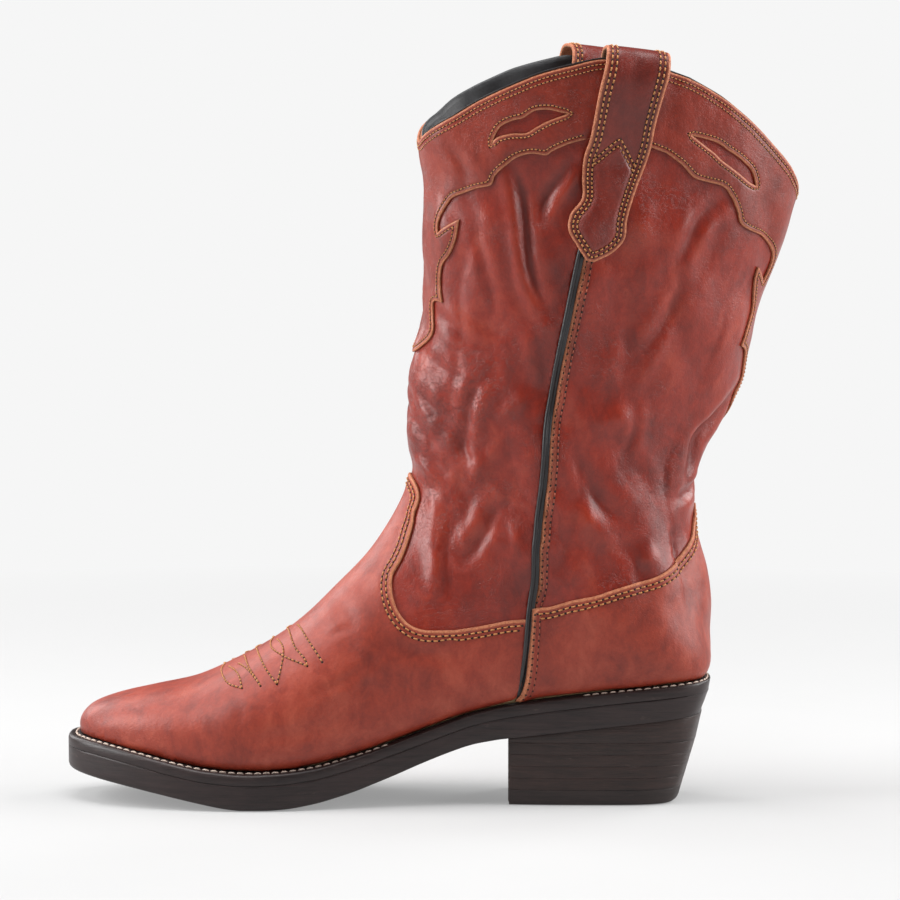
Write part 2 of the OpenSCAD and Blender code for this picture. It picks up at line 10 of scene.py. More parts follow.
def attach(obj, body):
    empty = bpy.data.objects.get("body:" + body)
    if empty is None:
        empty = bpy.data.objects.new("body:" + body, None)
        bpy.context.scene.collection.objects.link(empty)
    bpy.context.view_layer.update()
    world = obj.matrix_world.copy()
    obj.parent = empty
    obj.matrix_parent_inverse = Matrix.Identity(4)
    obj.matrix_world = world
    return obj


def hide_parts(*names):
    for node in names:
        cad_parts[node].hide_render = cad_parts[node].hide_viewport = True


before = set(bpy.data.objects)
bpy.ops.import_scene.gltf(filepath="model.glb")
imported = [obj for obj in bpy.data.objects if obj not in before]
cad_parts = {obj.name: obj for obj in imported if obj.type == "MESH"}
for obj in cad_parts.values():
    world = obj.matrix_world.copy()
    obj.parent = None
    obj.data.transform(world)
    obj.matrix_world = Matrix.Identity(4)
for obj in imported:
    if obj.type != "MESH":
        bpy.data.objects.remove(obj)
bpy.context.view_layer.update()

# Lengths are in millimetres up to add_mesh(), which writes metres.
# t is a section number from the toe tip to the collar, phi is degrees from the front ridge
# (positive on the outer side), d is millimetres outside the boot's own surface.

# ---- the boot's own surface, the same table as in part.scad ----
ST = np.array([
    [-160.0, 29.8, -160.0, 29.8, 0.0, .40, 2.1, 2.6, 5.0, 0],
    [-159.8, 35.4, -158.3, 27.9, 9.5, .40, 2.1, 3.0, 4.8, 0],
    [-155.0, 40.6, -153.0, 25.9, 17.5, .40, 2.2, 3.8, 4.4, 0],
    [-145.0, 44.6, -142.5, 24.0, 25.8, .40, 2.2, 4.5, 3.6, 0],
    [-127.5, 48.8, -126.0, 21.2, 34.0, .38, 2.2, 5.0, 2.2, 0],
    [-107.0, 53.6, -107.0, 18.0, 39.5, .36, 2.2, 5.5, 0.6, 0],
    [-85.2, 63.8, -86.5, 16.4, 42.5, .34, 2.1, 5.5, -0.6, 0],
    [-63.4, 77.4, -64.5, 17.2, 42.0, .34, 2.0, 5.5, -0.8, 0],
    [-43.6, 96.0, -40.0, 22.5, 39.5, .36, 2.0, 5.5, 0.2, 0],
    [-29.6, 110.6, -14.0, 31.2, 36.5, .38, 2.0, 5.5, 1.2, 0],
    [-19.6, 124.4, 14.0, 41.0, 34.5, .40, 2.0, 5.5, 1.4, 0],
    [-13.0, 138.0, 42.0, 46.8, 33.5, .42, 2.0, 5.4, 1.0, 0],
    [-10.4, 150.0, 74.0, 50.8, 34.0, .44, 2.0, 5.2, 0.5, 0],
    [-11.2, 159.0, 104.0, 54.0, 35.5, .45, 2.0, 4.8, 0.0, 0.5],
    [-11.4, 167.5, 121.4, 58.5, 36.0, .46, 2.0, 3.6, 0.0, 1.5],
    [-10.0, 179.0, 122.8, 78.0, 36.0, .47, 2.0, 2.7, 0.0, 3.0],
    [-8.5, 191.0, 121.0, 104.0, 36.0, .48, 2.0, 2.2, 0.0, 4.5],
    [-7.0, 204.0, 118.0, 130.0, 36.0, .50, 2.0, 2.0, 0.0, 6.0],
    [-6.0, 217.0, 117.5, 147.0, 36.5, .50, 2.0, 2.0, 0.0, 7.5],
    [-5.5, 231.0, 127.5, 170.0, 37.5, .50, 2.0, 2.0, 0.0, 9.0],
    [-5.5, 247.0, 141.5, 202.0, 38.5, .50, 2.0, 2.0, 0.0, 10.5],
    [-5.5, 263.0, 151.5, 232.0, 39.5, .50, 2.0, 2.0, 0.0, 11.5],
    [-6.0, 280.0, 159.5, 257.0, 40.0, .50, 2.0, 2.0, 0.0, 12.0],
    [-8.5, 298.0, 164.5, 275.0, 39.5, .50, 2.0, 2.0, 0.0, 12.0],
    [-11.0, 322.0, 169.0, 298.0, 39.0, .50, 2.0, 2.0, 0.0, 12.0],
    [-13.0, 348.0, 172.0, 322.0, 38.5, .50, 2.0, 2.0, 0.0, 12.0],
    [-15.0, 372.0, 175.0, 346.0, 38.0, .50, 2.0, 2.0, 0.0, 12.0]])
LAST = len(ST) - 1
# lower edge of the upper in front of the side seam, and the side seam: t, phi
LOW = [(0, 70), (.1, 80), (.3, 96), (.6, 103), (1, 107), (1.5, 110), (2, 113), (2.5, 115.5),
       (3, 119), (4, 124), (5, 128.7), (6, 132), (7, 134.5), (8, 137.5), (9, 139.5),
       (10.8, 139.8)]
SEAM = [(10.8, 139.8), (11, 133), (11.2, 125.5), (11.4, 118), (11.65, 109), (12, 98.5),
        (12.25, 92.5), (13, 83), (13.7, 78), (14.5, 77), (16, 79.5), (17, 82), (18, 83),
        (19, 80.5), (20, 78.5), (21, 78), (22, 80), (23, 83.5), (24, 86), (26, 88)]
# lower edge behind the seam: share of the way from seam to seam, t
LOWB = [(0, 10.85), (.074, 11), (.148, 11.25), (.2, 11.5), (.264, 12), (.309, 13),
        (.329, 13.5), (.358, 13.78), (.392, 13.9), (.441, 13.95), (.5, 13.97)]
COLLAR = [(0, 22.96), (10, 23.09), (30, 23.5), (43, 23.87), (54, 24.19), (64, 24.48),
          (73, 24.69), (81, 24.87), (92, 24.94), (100, 24.84), (107, 24.75), (117, 24.52),
          (128, 24.18), (141, 23.75), (162, 23.2), (180, 22.96)]
FEATHER = [(-175, 30.6), (-168, 30.2), (-162, 29.3), (-150, 27.8), (-136, 25.3),
           (-120, 21.8), (-104, 18.6), (-85, 16.9), (-66, 17.6), (-51, 19.5), (-29, 25.6),
           (-6, 33.9), (17, 42.4), (31, 45.6), (48, 48), (79, 51.8), (104, 54.4), (130, 57)]
TREAD = [(-175, 16), (-167, 14.2), (-160, 12.7), (-152, 11.3), (-136, 8.8), (-120, 5.9),
         (-104, 2.8), (-94, 0.9), (-86.5, 0), (-74.5, 0), (-64, 0.6), (-51, 2.8), (-35, 7.4),
         (-18, 14), (-6, 19.2), (6, 24), (17, 27.9), (32, 30.5), (130, 41.5)]
# outlines of the upper at the welt and of the outsole: x, outer y, inner y, row for row
UPPER = [(-161.6, 2.6, 7.4), (-161.2, -2.0, 11.8), (-160, -6.2, 15.8), (-158, -10, 19.3),
         (-155, -13.9, 22.7), (-150, -18.8, 26.9), (-144, -23.2, 30.4), (-136, -28, 33.9),
         (-127, -32.2, 36.6), (-117, -35.9, 38.6), (-107, -38.3, 39.5), (-97, -40, 39.8),
         (-86, -40.7, 39.4), (-75, -40.5, 38.8), (-64, -38.9, 37.5), (-52, -36, 35.5),
         (-40, -33.4, 33.8), (-27, -30.6, 32.1), (-13, -28.8, 31), (0, -27.6, 30.3),
         (14, -27.2, 29.9), (27, -27, 29.4), (41, -26.4, 28.3), (56, -26, 27.5),
         (72, -26.1, 27.2), (86, -26.6, 27.2), (96, -26.5, 27), (104, -25.7, 26.3),
         (110, -24.4, 25.2), (115, -22.2, 23.2), (118.5, -19, 20), (121, -14, 14.8),
         (122.4, -6.5, 7)]
OUTER = [(-166.8, 2, 8), (-166.2, -4.6, 14.2), (-164.6, -9.6, 19), (-162, -14, 23),
         (-158, -18.6, 27.2), (-152, -23.8, 31.6), (-145, -28.6, 35.4), (-136, -33.6, 38.9),
         (-127, -37.6, 41.6), (-117, -41.1, 43.6), (-107, -43.6, 44.7), (-97, -45.2, 45.1),
         (-86, -45.9, 44.6), (-75, -45.6, 43.7), (-64, -44, 42.1), (-52, -41, 39.8),
         (-40, -38, 37.6), (-27, -34.8, 35.6), (-13, -32.4, 34.2), (0, -30.8, 33.2),
         (14, -30, 32.5), (27, -29.6, 31.8), (41, -29, 30.7), (56, -28.6, 29.9),
         (72, -28.8, 29.7), (86, -29.2, 29.7), (97, -29, 29.4), (106, -28, 28.5),
         (112.5, -26.4, 27.2), (117.5, -23.8, 24.8), (121, -20.4, 21.4), (123.6, -15, 15.8),
         (124.8, -7, 7.5)]
DEE = [(0, .94), (.12, .975), (.3, 1), (.5, 1), (.66, .99), (.78, .96), (.86, .9),
       (.92, .81), (.96, .68), (.985, .48), (1, .2)]
# pull strap: t, d, left and right edge
STRAP = [(20.84, 3.1, 80.5, 83), (21.1, 3.1, 76.5, 88.5), (21.4, 3.1, 73, 91),
         (21.72, 3.1, 73, 90.5), (22.1, 3.1, 76, 91), (22.6, 3.1, 76, 92.5),
         (23.1, 3.1, 76.5, 94.5), (23.45, 4.3, 78, 95.5), (23.85, 6.2, 79, 96),
         (24.3, 9.4, 80, 97), (24.75, 11, 81.5, 98.5), (24.98, 9.7, 82, 99),
         (25.1, 7, 82.3, 99.3), (25.13, 0, 82.6, 99.4), (25.09, -5.6, 82.6, 99.4),
         (24.98, -8.6, 82.5, 99.2), (24.75, -10.2, 82, 98.6), (24.3, -9.6, 81.5, 98),
         (23.85, -7.6, 81, 97.5), (23.4, -5.4, 81, 97.5), (22.9, -4.7, 81, 97.5),
         (22.3, -4.7, 81, 97.5)]


def tab(T, x):
    return np.interp(x, [r[0] for r in T], [r[1] for r in T])


def soft_tab(T, x, sigma=4.0):
    """The table rounded off at its corners."""
    k = np.linspace(-2.5, 2.5, 11)
    w = np.exp(-k * k / 2)
    x = np.asarray(x, float)
    return sum(a * tab(T, x + b * sigma) for a, b in zip(w / w.sum(), k))


def zf(x):
    return soft_tab(FEATHER, x)


def zs(x):
    return np.maximum(soft_tab(TREAD, x, 3.0) - .1, 0)


def station(t):
    t = np.clip(np.asarray(t, float), 0, LAST - 1e-9)
    i = np.floor(t).astype(int)
    f = (t - i)[..., None]
    p1, p2 = ST[i], ST[i + 1]
    p0 = np.where((i == 0)[..., None], 2 * p1 - p2, ST[np.maximum(i - 1, 0)])
    p3 = np.where((i == LAST - 1)[..., None], 2 * p2 - p1, ST[np.minimum(i + 2, LAST)])
    return .5 * (2 * p1 + (p2 - p0) * f + (2 * p0 - 5 * p1 + 4 * p2 - p3) * f ** 2
                 + (3 * p1 - p0 - 3 * p2 + p3) * f ** 3)


def base(t, phi):
    q = station(t)
    a = np.radians(np.asarray(phi, float))
    c, s = np.cos(a), np.sin(a)
    n = np.where(c >= 0, q[..., 6], q[..., 7])
    r = (np.abs(c) ** n + np.abs(s) ** n) ** (-1 / n)
    w = q[..., 5]
    dx, dz = q[..., 0] - q[..., 2], q[..., 1] - q[..., 3]
    L = np.maximum(np.hypot(dx, dz), 1e-6)
    along = r * c * np.where(c >= 0, 1 - w, w) * L
    y = -r * s * q[..., 4]
    m = (.5 - w) * L
    tw = np.radians(q[..., 9])
    a0 = along - m
    a1 = a0 * np.cos(tw) + y * np.sin(tw) + m + w * L
    y1 = y * np.cos(tw) - a0 * np.sin(tw)
    return np.stack([q[..., 2] + dx / L * a1, y1 + q[..., 8], q[..., 3] + dz / L * a1], -1)


def unit(v):
    return v / np.maximum(np.linalg.norm(v, axis=-1, keepdims=True), 1e-12)


def side(t, phi):
    tm = np.clip(t, .03, LAST - .02)
    return unit(np.cross(base(tm, phi + .5) - base(tm, phi - .5),
                         base(tm + .02, phi) - base(tm - .02, phi)))


def seam(t):
    return soft_tab(SEAM, t, .06)


# ---- folds of the worn-in leather, one field that every layer follows ----
STEP = .05                  # of a section between rows of the grid; columns are 1 degree apart
TG = np.arange(0, LAST + .0001, STEP)
PG = np.arange(-180, 180, 1.0)
GRID = base(TG[:, None], PG[None, :])
GNORM = side(TG[:, None] + 0 * PG[None, :], PG[None, :] + 0 * TG[:, None])


def smoothstep(a, b, x):
    k = np.clip((x - a) / (b - a), 0, 1)
    return k * k * (3 - 2 * k)


def run_length(Q):
    """Distance along a line of points, from its start."""
    return np.concatenate([[0], np.cumsum(np.linalg.norm(np.diff(Q, axis=0), axis=1))])


def even(P, length, gap):
    """The rows of P at even steps of about gap along the given lengths."""
    n = max(int(round(length[-1] / gap)), 1)
    u = np.linspace(0, length[-1], n + 1)
    return np.stack([np.interp(u, length, P[:, i]) for i in range(P.shape[1])], 1)


def curve(P, closed=False, per=8):
    """Centripetal Catmull-Rom through points of any dimension; t and phi are scaled to mm."""
    P = np.asarray(P, float)
    k = np.array([22.0, .7]) if P.shape[1] == 2 else np.ones(P.shape[1])
    Q = P * k
    n = len(Q)
    out = []
    for i in range(n if closed else n - 1):
        if closed:
            p = [Q[(i + j) % n] for j in (-1, 0, 1, 2)]
        else:
            p = [Q[i - 1] if i else 2 * Q[0] - Q[1], Q[i], Q[i + 1],
                 Q[i + 2] if i + 2 < n else 2 * Q[-1] - Q[-2]]
        s = [0]
        for j in range(3):
            s.append(s[-1] + max(np.linalg.norm(p[j + 1] - p[j]), 1e-6) ** .5)
        for u in np.linspace(s[1], s[2], per, endpoint=False):
            a = [((s[j + 1] - u) * p[j] + (u - s[j]) * p[j + 1]) / (s[j + 1] - s[j])
                 for j in range(3)]
            b = [((s[j + 2] - u) * a[j] + (u - s[j]) * a[j + 1]) / (s[j + 2] - s[j])
                 for j in range(2)]
            out.append(((s[2] - u) * b[0] + (u - s[1]) * b[1]) / (s[2] - s[1]))
    if not closed:
        out.append(Q[-1])
    return np.array(out) / k


def crease(F, pts, depth, width, lip_a=.5, lip_b=.5, taper=.6):
    """Presses a valley along a line of (t, phi) points, with a raised lip on each side."""
    C = curve(pts, per=6)
    t0, t1 = C[:, 0].min() - 1.4, C[:, 0].max() + 1.4
    rows = np.where((TG >= t0) & (TG <= t1))[0]
    mid, half = (C[:, 1].max() + C[:, 1].min()) / 2, (C[:, 1].max() - C[:, 1].min()) / 2 + 35
    away = np.abs((PG - mid + 180) % 360 - 180)
    cols = np.where(away <= half)[0]
    P = GRID[np.ix_(rows, cols)]
    N = GNORM[np.ix_(rows, cols)]
    Q = base(C[:, 0], C[:, 1])
    L = run_length(Q)
    best = np.full(P.shape[:2], 1e9)
    pos = np.zeros_like(best)
    sgn = np.zeros_like(best)
    for a, b, la, lb in zip(Q[:-1], Q[1:], L[:-1], L[1:]):
        ab = b - a
        k = np.clip(((P - a) @ ab) / (ab @ ab), 0, 1)
        v = P - (a + k[..., None] * ab)
        dist = np.linalg.norm(v, axis=-1)
        hit = dist < best
        best = np.where(hit, dist, best)
        pos = np.where(hit, (la + k * (lb - la)) / L[-1], pos)
        sgn = np.where(hit, np.sign((np.cross(ab, v) * N).sum(-1)), sgn)
    fade = np.sin(np.pi * np.clip(pos, .02, .98)) ** taper
    lip = np.where(sgn > 0, lip_a, lip_b)
    g = lip * np.exp(-((best - 2.1 * width) / (1.3 * width)) ** 2) - np.exp(-(best / width) ** 2)
    F[np.ix_(rows, cols)] += depth * fade * g


# near side: points, depth, width, lip on the heel side and on the toe side (going down);
# a negative depth is a ridge
FOLDS = [
    ([(22.9, 53), (22.1, 56), (21.3, 59), (20.6, 62), (20.1, 66), (19.6, 74)], 2.2, 2.4, .2, 1.1),
    ([(23.0, 73), (22.5, 69), (22.0, 65), (21.4, 63.8)], 1.7, 2.2, 1.1, .2),
    ([(23.0, 27), (22.7, 32), (22.3, 36)], 0.8, 2.2, .6, .6),
    ([(22.3, 97), (21.8, 95), (21.3, 95)], -1.7, 5.9, 0, 0),
    ([(22.7, 124), (22.0, 115), (21.4, 112), (21.0, 110)], 1.5, 3, .8, .4),
    ([(21.1, 110), (20.7, 114), (20.1, 112), (19.5, 108)], 1.1, 2.6, .4, .8),
    ([(22.0, 132), (21.3, 127), (20.6, 123), (20.0, 121)], -1.6, 5.6, 0, 0),
    ([(21.5, 38), (20.6, 42), (19.9, 48), (19.3, 52)], 0.9, 2.6, .6, .4),
    ([(19.2, 68), (18.7, 71), (18.1, 78)], -1.4, 3, 0, 0),
    ([(17.6, 56), (16.9, 51), (16.2, 48), (15.5, 47), (14.6, 44)], 1.5, 2.6, .9, .4),
    ([(17.7, 73), (16.9, 66), (16.4, 60)], -1.6, 3.3, 0, 0),
    ([(15.6, 58), (14.9, 54), (14.5, 53), (13.8, 50)], -1.9, 4.3, 0, 0),
    ([(14.6, 67.7), (14.0, 63.4), (13.5, 62.3), (12.9, 64.1), (12.3, 65.7), (11.9, 67.2),
      (11.55, 67), (11.4, 63.6), (11.28, 59.5)], 1.6, 3.2, .1, .9),
    ([(11.4, 57), (10.9, 61), (10.6, 66), (10.3, 75)], -1.6, 4, 0, 0),
    ([(13.7, 47), (14.5, 51), (15.3, 57)], -2.1, 6.6, 0, 0),
    ([(14.0, 68), (13.6, 71), (13.0, 77)], -0.8, 2.2, 0, 0),
    ([(12.6, 38), (11.6, 44), (10.9, 54), (10.6, 68)], -1.7, 4.3, 0, 0),
    ([(12.4, 52), (11.6, 56), (11.0, 64), (10.8, 76)], 0.9, 2.2, .4, .4),
    ([(17.8, 100), (18.2, 107), (18.6, 116)], -2.8, 7.5, 0, 0),
    ([(18.6, 113), (18.3, 117), (17.9, 117), (17.5, 115)], 1, 1.8, .7, .4),
    ([(18.2, 118), (17.8, 127), (17.4, 136)], -1.7, 4.9, 0, 0),
    ([(19.5, 170), (19.0, 158), (18.7, 152), (18.2, 153), (17.5, 152)], 2.2, 2.8, .7, .7),
    ([(18.0, 176), (17.6, 164), (17.3, 152), (17.0, 142)], 1.8, 2.8, .6, .7),
    ([(19.0, 172), (18.6, 166), (18.1, 163)], -1.6, 4, 0, 0),
    ([(15.7, 83), (15.3, 86), (14.9, 88)], -1.8, 4.6, 0, 0),
    ([(15.9, 94), (15.5, 98), (15.2, 105)], -2.8, 5.5, 0, 0),
    ([(15.4, 117), (15.6, 122), (15.9, 128)], -2.6, 4.6, 0, 0),
    ([(16.9, 92), (16.4, 97), (16.0, 104), (16.1, 113)], 1, 3, .4, .6),
    ([(19.9, 115), (19.4, 113), (18.9, 111)], -1.1, 2.6, 0, 0),
    ([(20.6, 96), (20.0, 101), (19.4, 104), (18.9, 104)], 0.6, 3, .5, .6),
    ([(15.8, 12), (15.6, 26), (15.4, 38), (15.0, 46)], .6, 2.6, .6, .6),
    ([(17.2, 10), (17.0, 24), (16.9, 38), (17.2, 50)], .5, 2.4, .5, .6),
    ([(13.4, 18), (13.5, 30), (13.9, 42)], .8, 2.6, .6, .6),
    ([(14.8, 16), (14.4, 28), (13.9, 34), (13.2, 40)], .5, 2.4, .6, .5),
    ([(12.7, 14), (12.5, 28), (12.3, 40)], .5, 2.4, .5, .5),
    ([(18.6, 22), (18.4, 34), (18.2, 46), (18.3, 58)], 0.8, 2.6, .6, .4),
    ([(10.6, 18), (10.7, 30), (10.7, 42)], 0.5, 2.6, .5, .5),
    ([(7.8, 12), (8.1, 34), (8.3, 50), (8.3, 66)], 0.55, 3.4, .5, .5),
    ([(8.9, 72), (9.4, 84), (9.8, 94), (10.3, 108)], 0.7, 3.6, .6, .4),
    ([(8.2, 84), (8.6, 94), (8.5, 106)], 0.5, 3, .5, .5),
    ([(7.3, 76), (7.8, 80), (8.5, 80.5), (9.0, 78)], .5, 1.8, .5, .5),
    ([(5.8, 52), (6.0, 66), (6.0, 80)], .4, 2.0, .5, .5),
    ([(8.5, 72), (8.7, 80), (8.75, 90)], .45, 1.6, .5, .5),
    ([(6.2, 92), (7.2, 103), (8.2, 113)], .45, 3.0, .5, .5),
    ([(7.8, 50), (8.1, 53), (8.4, 57)], .4, 1.6, .5, .5),
]
# far side: its own folds, not a mirror of the near ones
FOLDS_FAR = [
    ([(22.9, -58), (21.9, -62), (20.9, -60), (20.0, -66)], 1.1, 3.4, .4, .7),
    ([(21.9, -104), (21.1, -110), (20.3, -116), (19.8, -126)], 1.2, 3.2, .6, .5),
    ([(18.9, -22), (18.4, -36), (18.2, -50), (17.8, -62)], .9, 2.8, .4, .7),
    ([(17.2, -14), (16.9, -28), (16.9, -42)], .8, 2.6, .5, .6),
    ([(15.8, -10), (15.3, -24), (15.2, -40), (14.8, -56)], 1.2, 2.8, .4, .8),
    ([(14.5, -36), (13.8, -46), (13.0, -52), (12.4, -58)], 1.3, 3.0, .7, .5),
    ([(13.3, -24), (12.7, -34), (12.4, -46)], .8, 2.6, .5, .5),
    ([(19.4, -160), (19.0, -148), (18.7, -136), (18.8, -124)], 1.6, 3.2, .6, .7),
    ([(18.0, -166), (17.6, -152), (17.4, -138)], 1.4, 3.0, .6, .6),
    ([(17.2, -120), (16.7, -112), (16.3, -102), (16.4, -92)], .9, 3.2, .3, .8),
    ([(16.0, -134), (15.7, -124), (15.8, -112)], .8, 2.8, .6, .4),
    ([(20.9, -92), (20.2, -96), (19.4, -100), (18.7, -98)], .6, 3.0, .6, .4),
    ([(10.2, -34), (9.6, -42), (9.2, -54)], .6, 3.0, .5, .5),
    ([(8.4, -64), (8.0, -78), (8.2, -94)], .5, 3.4, .5, .5),
]


def billow(P, wave, seed, squash=(1, 1, 1)):
    """Pillows with sharp valleys between them, 0 in a valley and about 1 on a pillow."""
    s = np.array(squash) / wave
    off = Vector((seed * 7.3, seed * 3.1, seed * 5.7))
    flat = P.reshape(-1, 3) * s
    out = np.empty(len(flat))
    for i, p in enumerate(flat):
        v = Vector(p) + off
        w = noise.noise(v * .7 + off) * .6
        out[i] = abs(noise.noise(v + Vector((w, w, -w))))
    return np.clip(out.reshape(P.shape[:-1]) * 2.2, 0, 1.2)


def lumps(P, wave, seed):
    off = Vector((seed * 2.9, seed * 6.1, seed * 4.3))
    flat = P.reshape(-1, 3) / wave
    return np.array([noise.noise(Vector(p) + off) for p in flat]).reshape(P.shape[:-1])


def fold_field():
    T, A = TG[:, None] + 0 * PG, np.abs(PG[None, :]) + 0 * TG[:, None]
    F = np.zeros(T.shape)
    for f in FOLDS + FOLDS_FAR:
        crease(F, *f)
    # soft pillows: strongest round the ankle, weaker up the shaft, faint on the vamp
    ankle = np.exp(-((T - 14.5) / 2.6) ** 2) * (.35 + .65 * np.cos(np.radians(A / 2)) ** 2)
    shaft = smoothstep(11.5, 13, T)
    F += (billow(GRID, 24, 1, (1, 1, .5)) - .5) * (1.1 * ankle + 1.0 * shaft)
    F += (billow(GRID, 11, 2, (1, 1, .8)) - .5) * (.7 * ankle + .16 * shaft)
    F += lumps(GRID, 42, 3) * (1.6 * shaft + .5)
    F += lumps(GRID * [1, 1, .7], 19, 5) * (1.7 * shaft + .35)
    F += lumps(GRID * [1, 1, .8], 10, 8) * (.45 * shaft + .45 * ankle)
    # the boot is firm at the toe, round the heel counter, at the welt and in the collar
    edge = np.where(A < np.interp(T, [0, 10.8], [90, 139]), tab(LOW, T) - A, 99)
    firm = smoothstep(0, 5.5, T) * .7 + .3 * smoothstep(5, 10, T)
    firm *= .35 + .65 * smoothstep(4, 30, edge)
    heel = smoothstep(95, 125, A) * smoothstep(16.2, 13.5, T)
    firm *= 1 - .82 * heel
    firm *= 1 - .45 * smoothstep(21.8, 23.6, T)
    return F * firm


F_GRID = fold_field()


def bilinear(G, t, phi):
    x = np.clip(np.asarray(t, float) / STEP, 0, len(TG) - 1.001)
    i = x.astype(int)
    f = x - i
    y = (np.asarray(phi, float) + 180) % 360
    j = y.astype(int) % 360
    g = y - np.floor(y)
    k = (j + 1) % 360
    return ((G[i, j] * (1 - g) + G[i, k] * g) * (1 - f)
            + (G[i + 1, j] * (1 - g) + G[i + 1, k] * g) * f)


def smooth_field(G, steps):
    for _ in range(steps):
        G = (G + np.roll(G, 1, 1) + np.roll(G, -1, 1)) / 3
        G[1:-1] = (G[:-2] + G[1:-1] + G[2:]) / 3
    return G


# how far a point lies below its neighbourhood: valleys get painted shade and are duller
HOLLOW = smooth_field(F_GRID.copy(), 6) - F_GRID


def surf(t, phi, d):
    t, phi, d = np.broadcast_arrays(np.asarray(t, float), np.asarray(phi, float),
                                    np.asarray(d, float))
    return base(t, phi) + side(t, phi) * (d + bilinear(F_GRID, t, phi))[..., None]


# ---- meshes ----
def link(name, data):
    ob = bpy.data.objects.new(name, data)
    bpy.context.scene.collection.objects.link(ob)
    return ob


def add_mesh(name, V, faces, mats, slots=None, attrs=None):
    me = bpy.data.meshes.new(name)
    me.from_pydata((np.asarray(V) * .001).tolist(), [],
                   faces.tolist() if isinstance(faces, np.ndarray) else faces)
    for m in mats:
        me.materials.append(m)
    if slots is not None:
        me.polygons.foreach_set("material_index", np.asarray(slots, np.int32))
    me.polygons.foreach_set("use_smooth", np.full(len(me.polygons), True))
    for key, values in (attrs or {}).items():
        a = me.attributes.new(key, "FLOAT", "POINT")
        a.data.foreach_set("value", np.asarray(values, np.float32))
    me.update()
    return link(name, me)


def place(ob, nodes):
    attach(ob, "root")
    if nodes:
        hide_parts(*nodes)
    return ob


def grid_faces(nv, nu, wrap=False):
    j, i = np.meshgrid(np.arange(nv - 1), np.arange(nu if wrap else nu - 1), indexing="ij")
    i2 = (i + 1) % nu
    q = np.stack([j * nu + i, j * nu + i2, (j + 1) * nu + i2, (j + 1) * nu + i], -1)
    return q.reshape(-1, 4)


def sheet(A, B):
    """Closed thin solid between two equal grids of points."""
    nv, nu = A.shape[:2]
    n = nv * nu
    f = grid_faces(nv, nu)
    ring = np.concatenate([np.arange(nu), np.arange(1, nv) * nu + nu - 1,
                           (nv - 1) * nu + np.arange(nu - 2, -1, -1),
                           np.arange(nv - 2, 0, -1) * nu])
    nxt = np.roll(ring, -1)
    rim = np.stack([nxt, ring, ring + n, nxt + n], -1)
    return np.concatenate([A.reshape(-1, 3), B.reshape(-1, 3)]), \
        np.concatenate([f, f[:, ::-1] + n, rim])


class Chart:
    """A nearly true-to-size flat map of part of the surface."""

    def __init__(self, ref, mid):
        self.P = np.arange(mid - 180, mid + 181, 1.0)
        Q = base(TG[:, None], self.P[None, :])
        seg = np.linalg.norm(np.diff(Q, axis=1), axis=2)
        G = np.concatenate([np.zeros((len(TG), 1)), np.cumsum(seg, 1)], 1)
        self.G = G - G[:, 180:181]
        arcs = [np.linalg.norm(np.diff(base(TG, np.full(len(TG), mid + s * (ref - mid))),
                                       axis=0), axis=1) for s in (1, -1)]
        self.S = np.concatenate([[0], np.cumsum((arcs[0] + arcs[1]) / 2)])

    def xy(self, t, phi):
        a = np.clip(t / STEP, 0, len(TG) - 1.001)
        i = a.astype(int)
        f = a - i
        b = np.clip(phi - self.P[0], 0, 359.99)
        j = b.astype(int)
        g = b - j
        G = self.G
        x = ((G[i, j] * (1 - g) + G[i, j + 1] * g) * (1 - f)
             + (G[i + 1, j] * (1 - g) + G[i + 1, j + 1] * g) * f)
        return np.stack([x, np.interp(t, TG, self.S)], -1)

    def hexes(self, lo, hi, gap):
        """Rows of points inside a box of the map, as (t, phi)."""
        out = []
        y, k = lo[1], 0
        while y < hi[1]:
            t = np.interp(y, self.S, TG)
            a = min(int(t / STEP), len(TG) - 2)
            f = t / STEP - a
            row = self.G[a] * (1 - f) + self.G[a + 1] * f
            x = np.arange(lo[0] + (k % 2) * gap / 2, hi[0], gap)
            x = x[(x > row[0]) & (x < row[-1])]
            out.append(np.stack([np.full(len(x), t), np.interp(x, row, self.P)], -1))
            y += gap * .866
            k += 1
        return np.concatenate(out)


def along(TP, gap):
    """Even steps of about gap millimetres along a line of (t, phi)."""
    return even(TP, run_length(base(TP[:, 0], TP[:, 1])), gap)


def inward(TP, delta, sign, closed=False):
    """The line moved sideways by delta millimetres along the surface."""
    P = TP * 1.0
    tan = np.gradient(P, axis=0)
    if closed:
        tan = (np.roll(P, -1, 0) - np.roll(P, 1, 0)) / 2
    t = np.clip(P[:, 0], .03, LAST - .03)
    pt = (base(t + .02, P[:, 1]) - base(t - .02, P[:, 1])) / .04
    pp = base(t, P[:, 1] + .5) - base(t, P[:, 1] - .5)
    n = unit(np.cross(pp, pt))
    v = tan[:, :1] * pt + tan[:, 1:] * pp
    w = unit(np.cross(n, v)) * delta * sign
    a, b, c = (pt * pt).sum(1), (pt * pp).sum(1), (pp * pp).sum(1)
    e, f = (w * pt).sum(1), (w * pp).sum(1)
    det = np.maximum(a * c - b * b, 1e-9)
    return P + np.stack([(e * c - f * b) / det, (f * a - e * b) / det], -1)


def tree(P):
    k = KDTree(len(P))
    for i, p in enumerate(P):
        k.insert(p, i)
    k.balance()
    return k


def near(k, P):
    return np.array([k.find(p)[2] for p in P])


def with_z(Q, z):
    return np.c_[Q, z + 0 * Q[:, 0]]


def near_flat(Q, P):
    """Distance of each flat point P from the nearest of the flat points Q."""
    return near(tree(with_z(Q, 0)), with_z(P, 0))


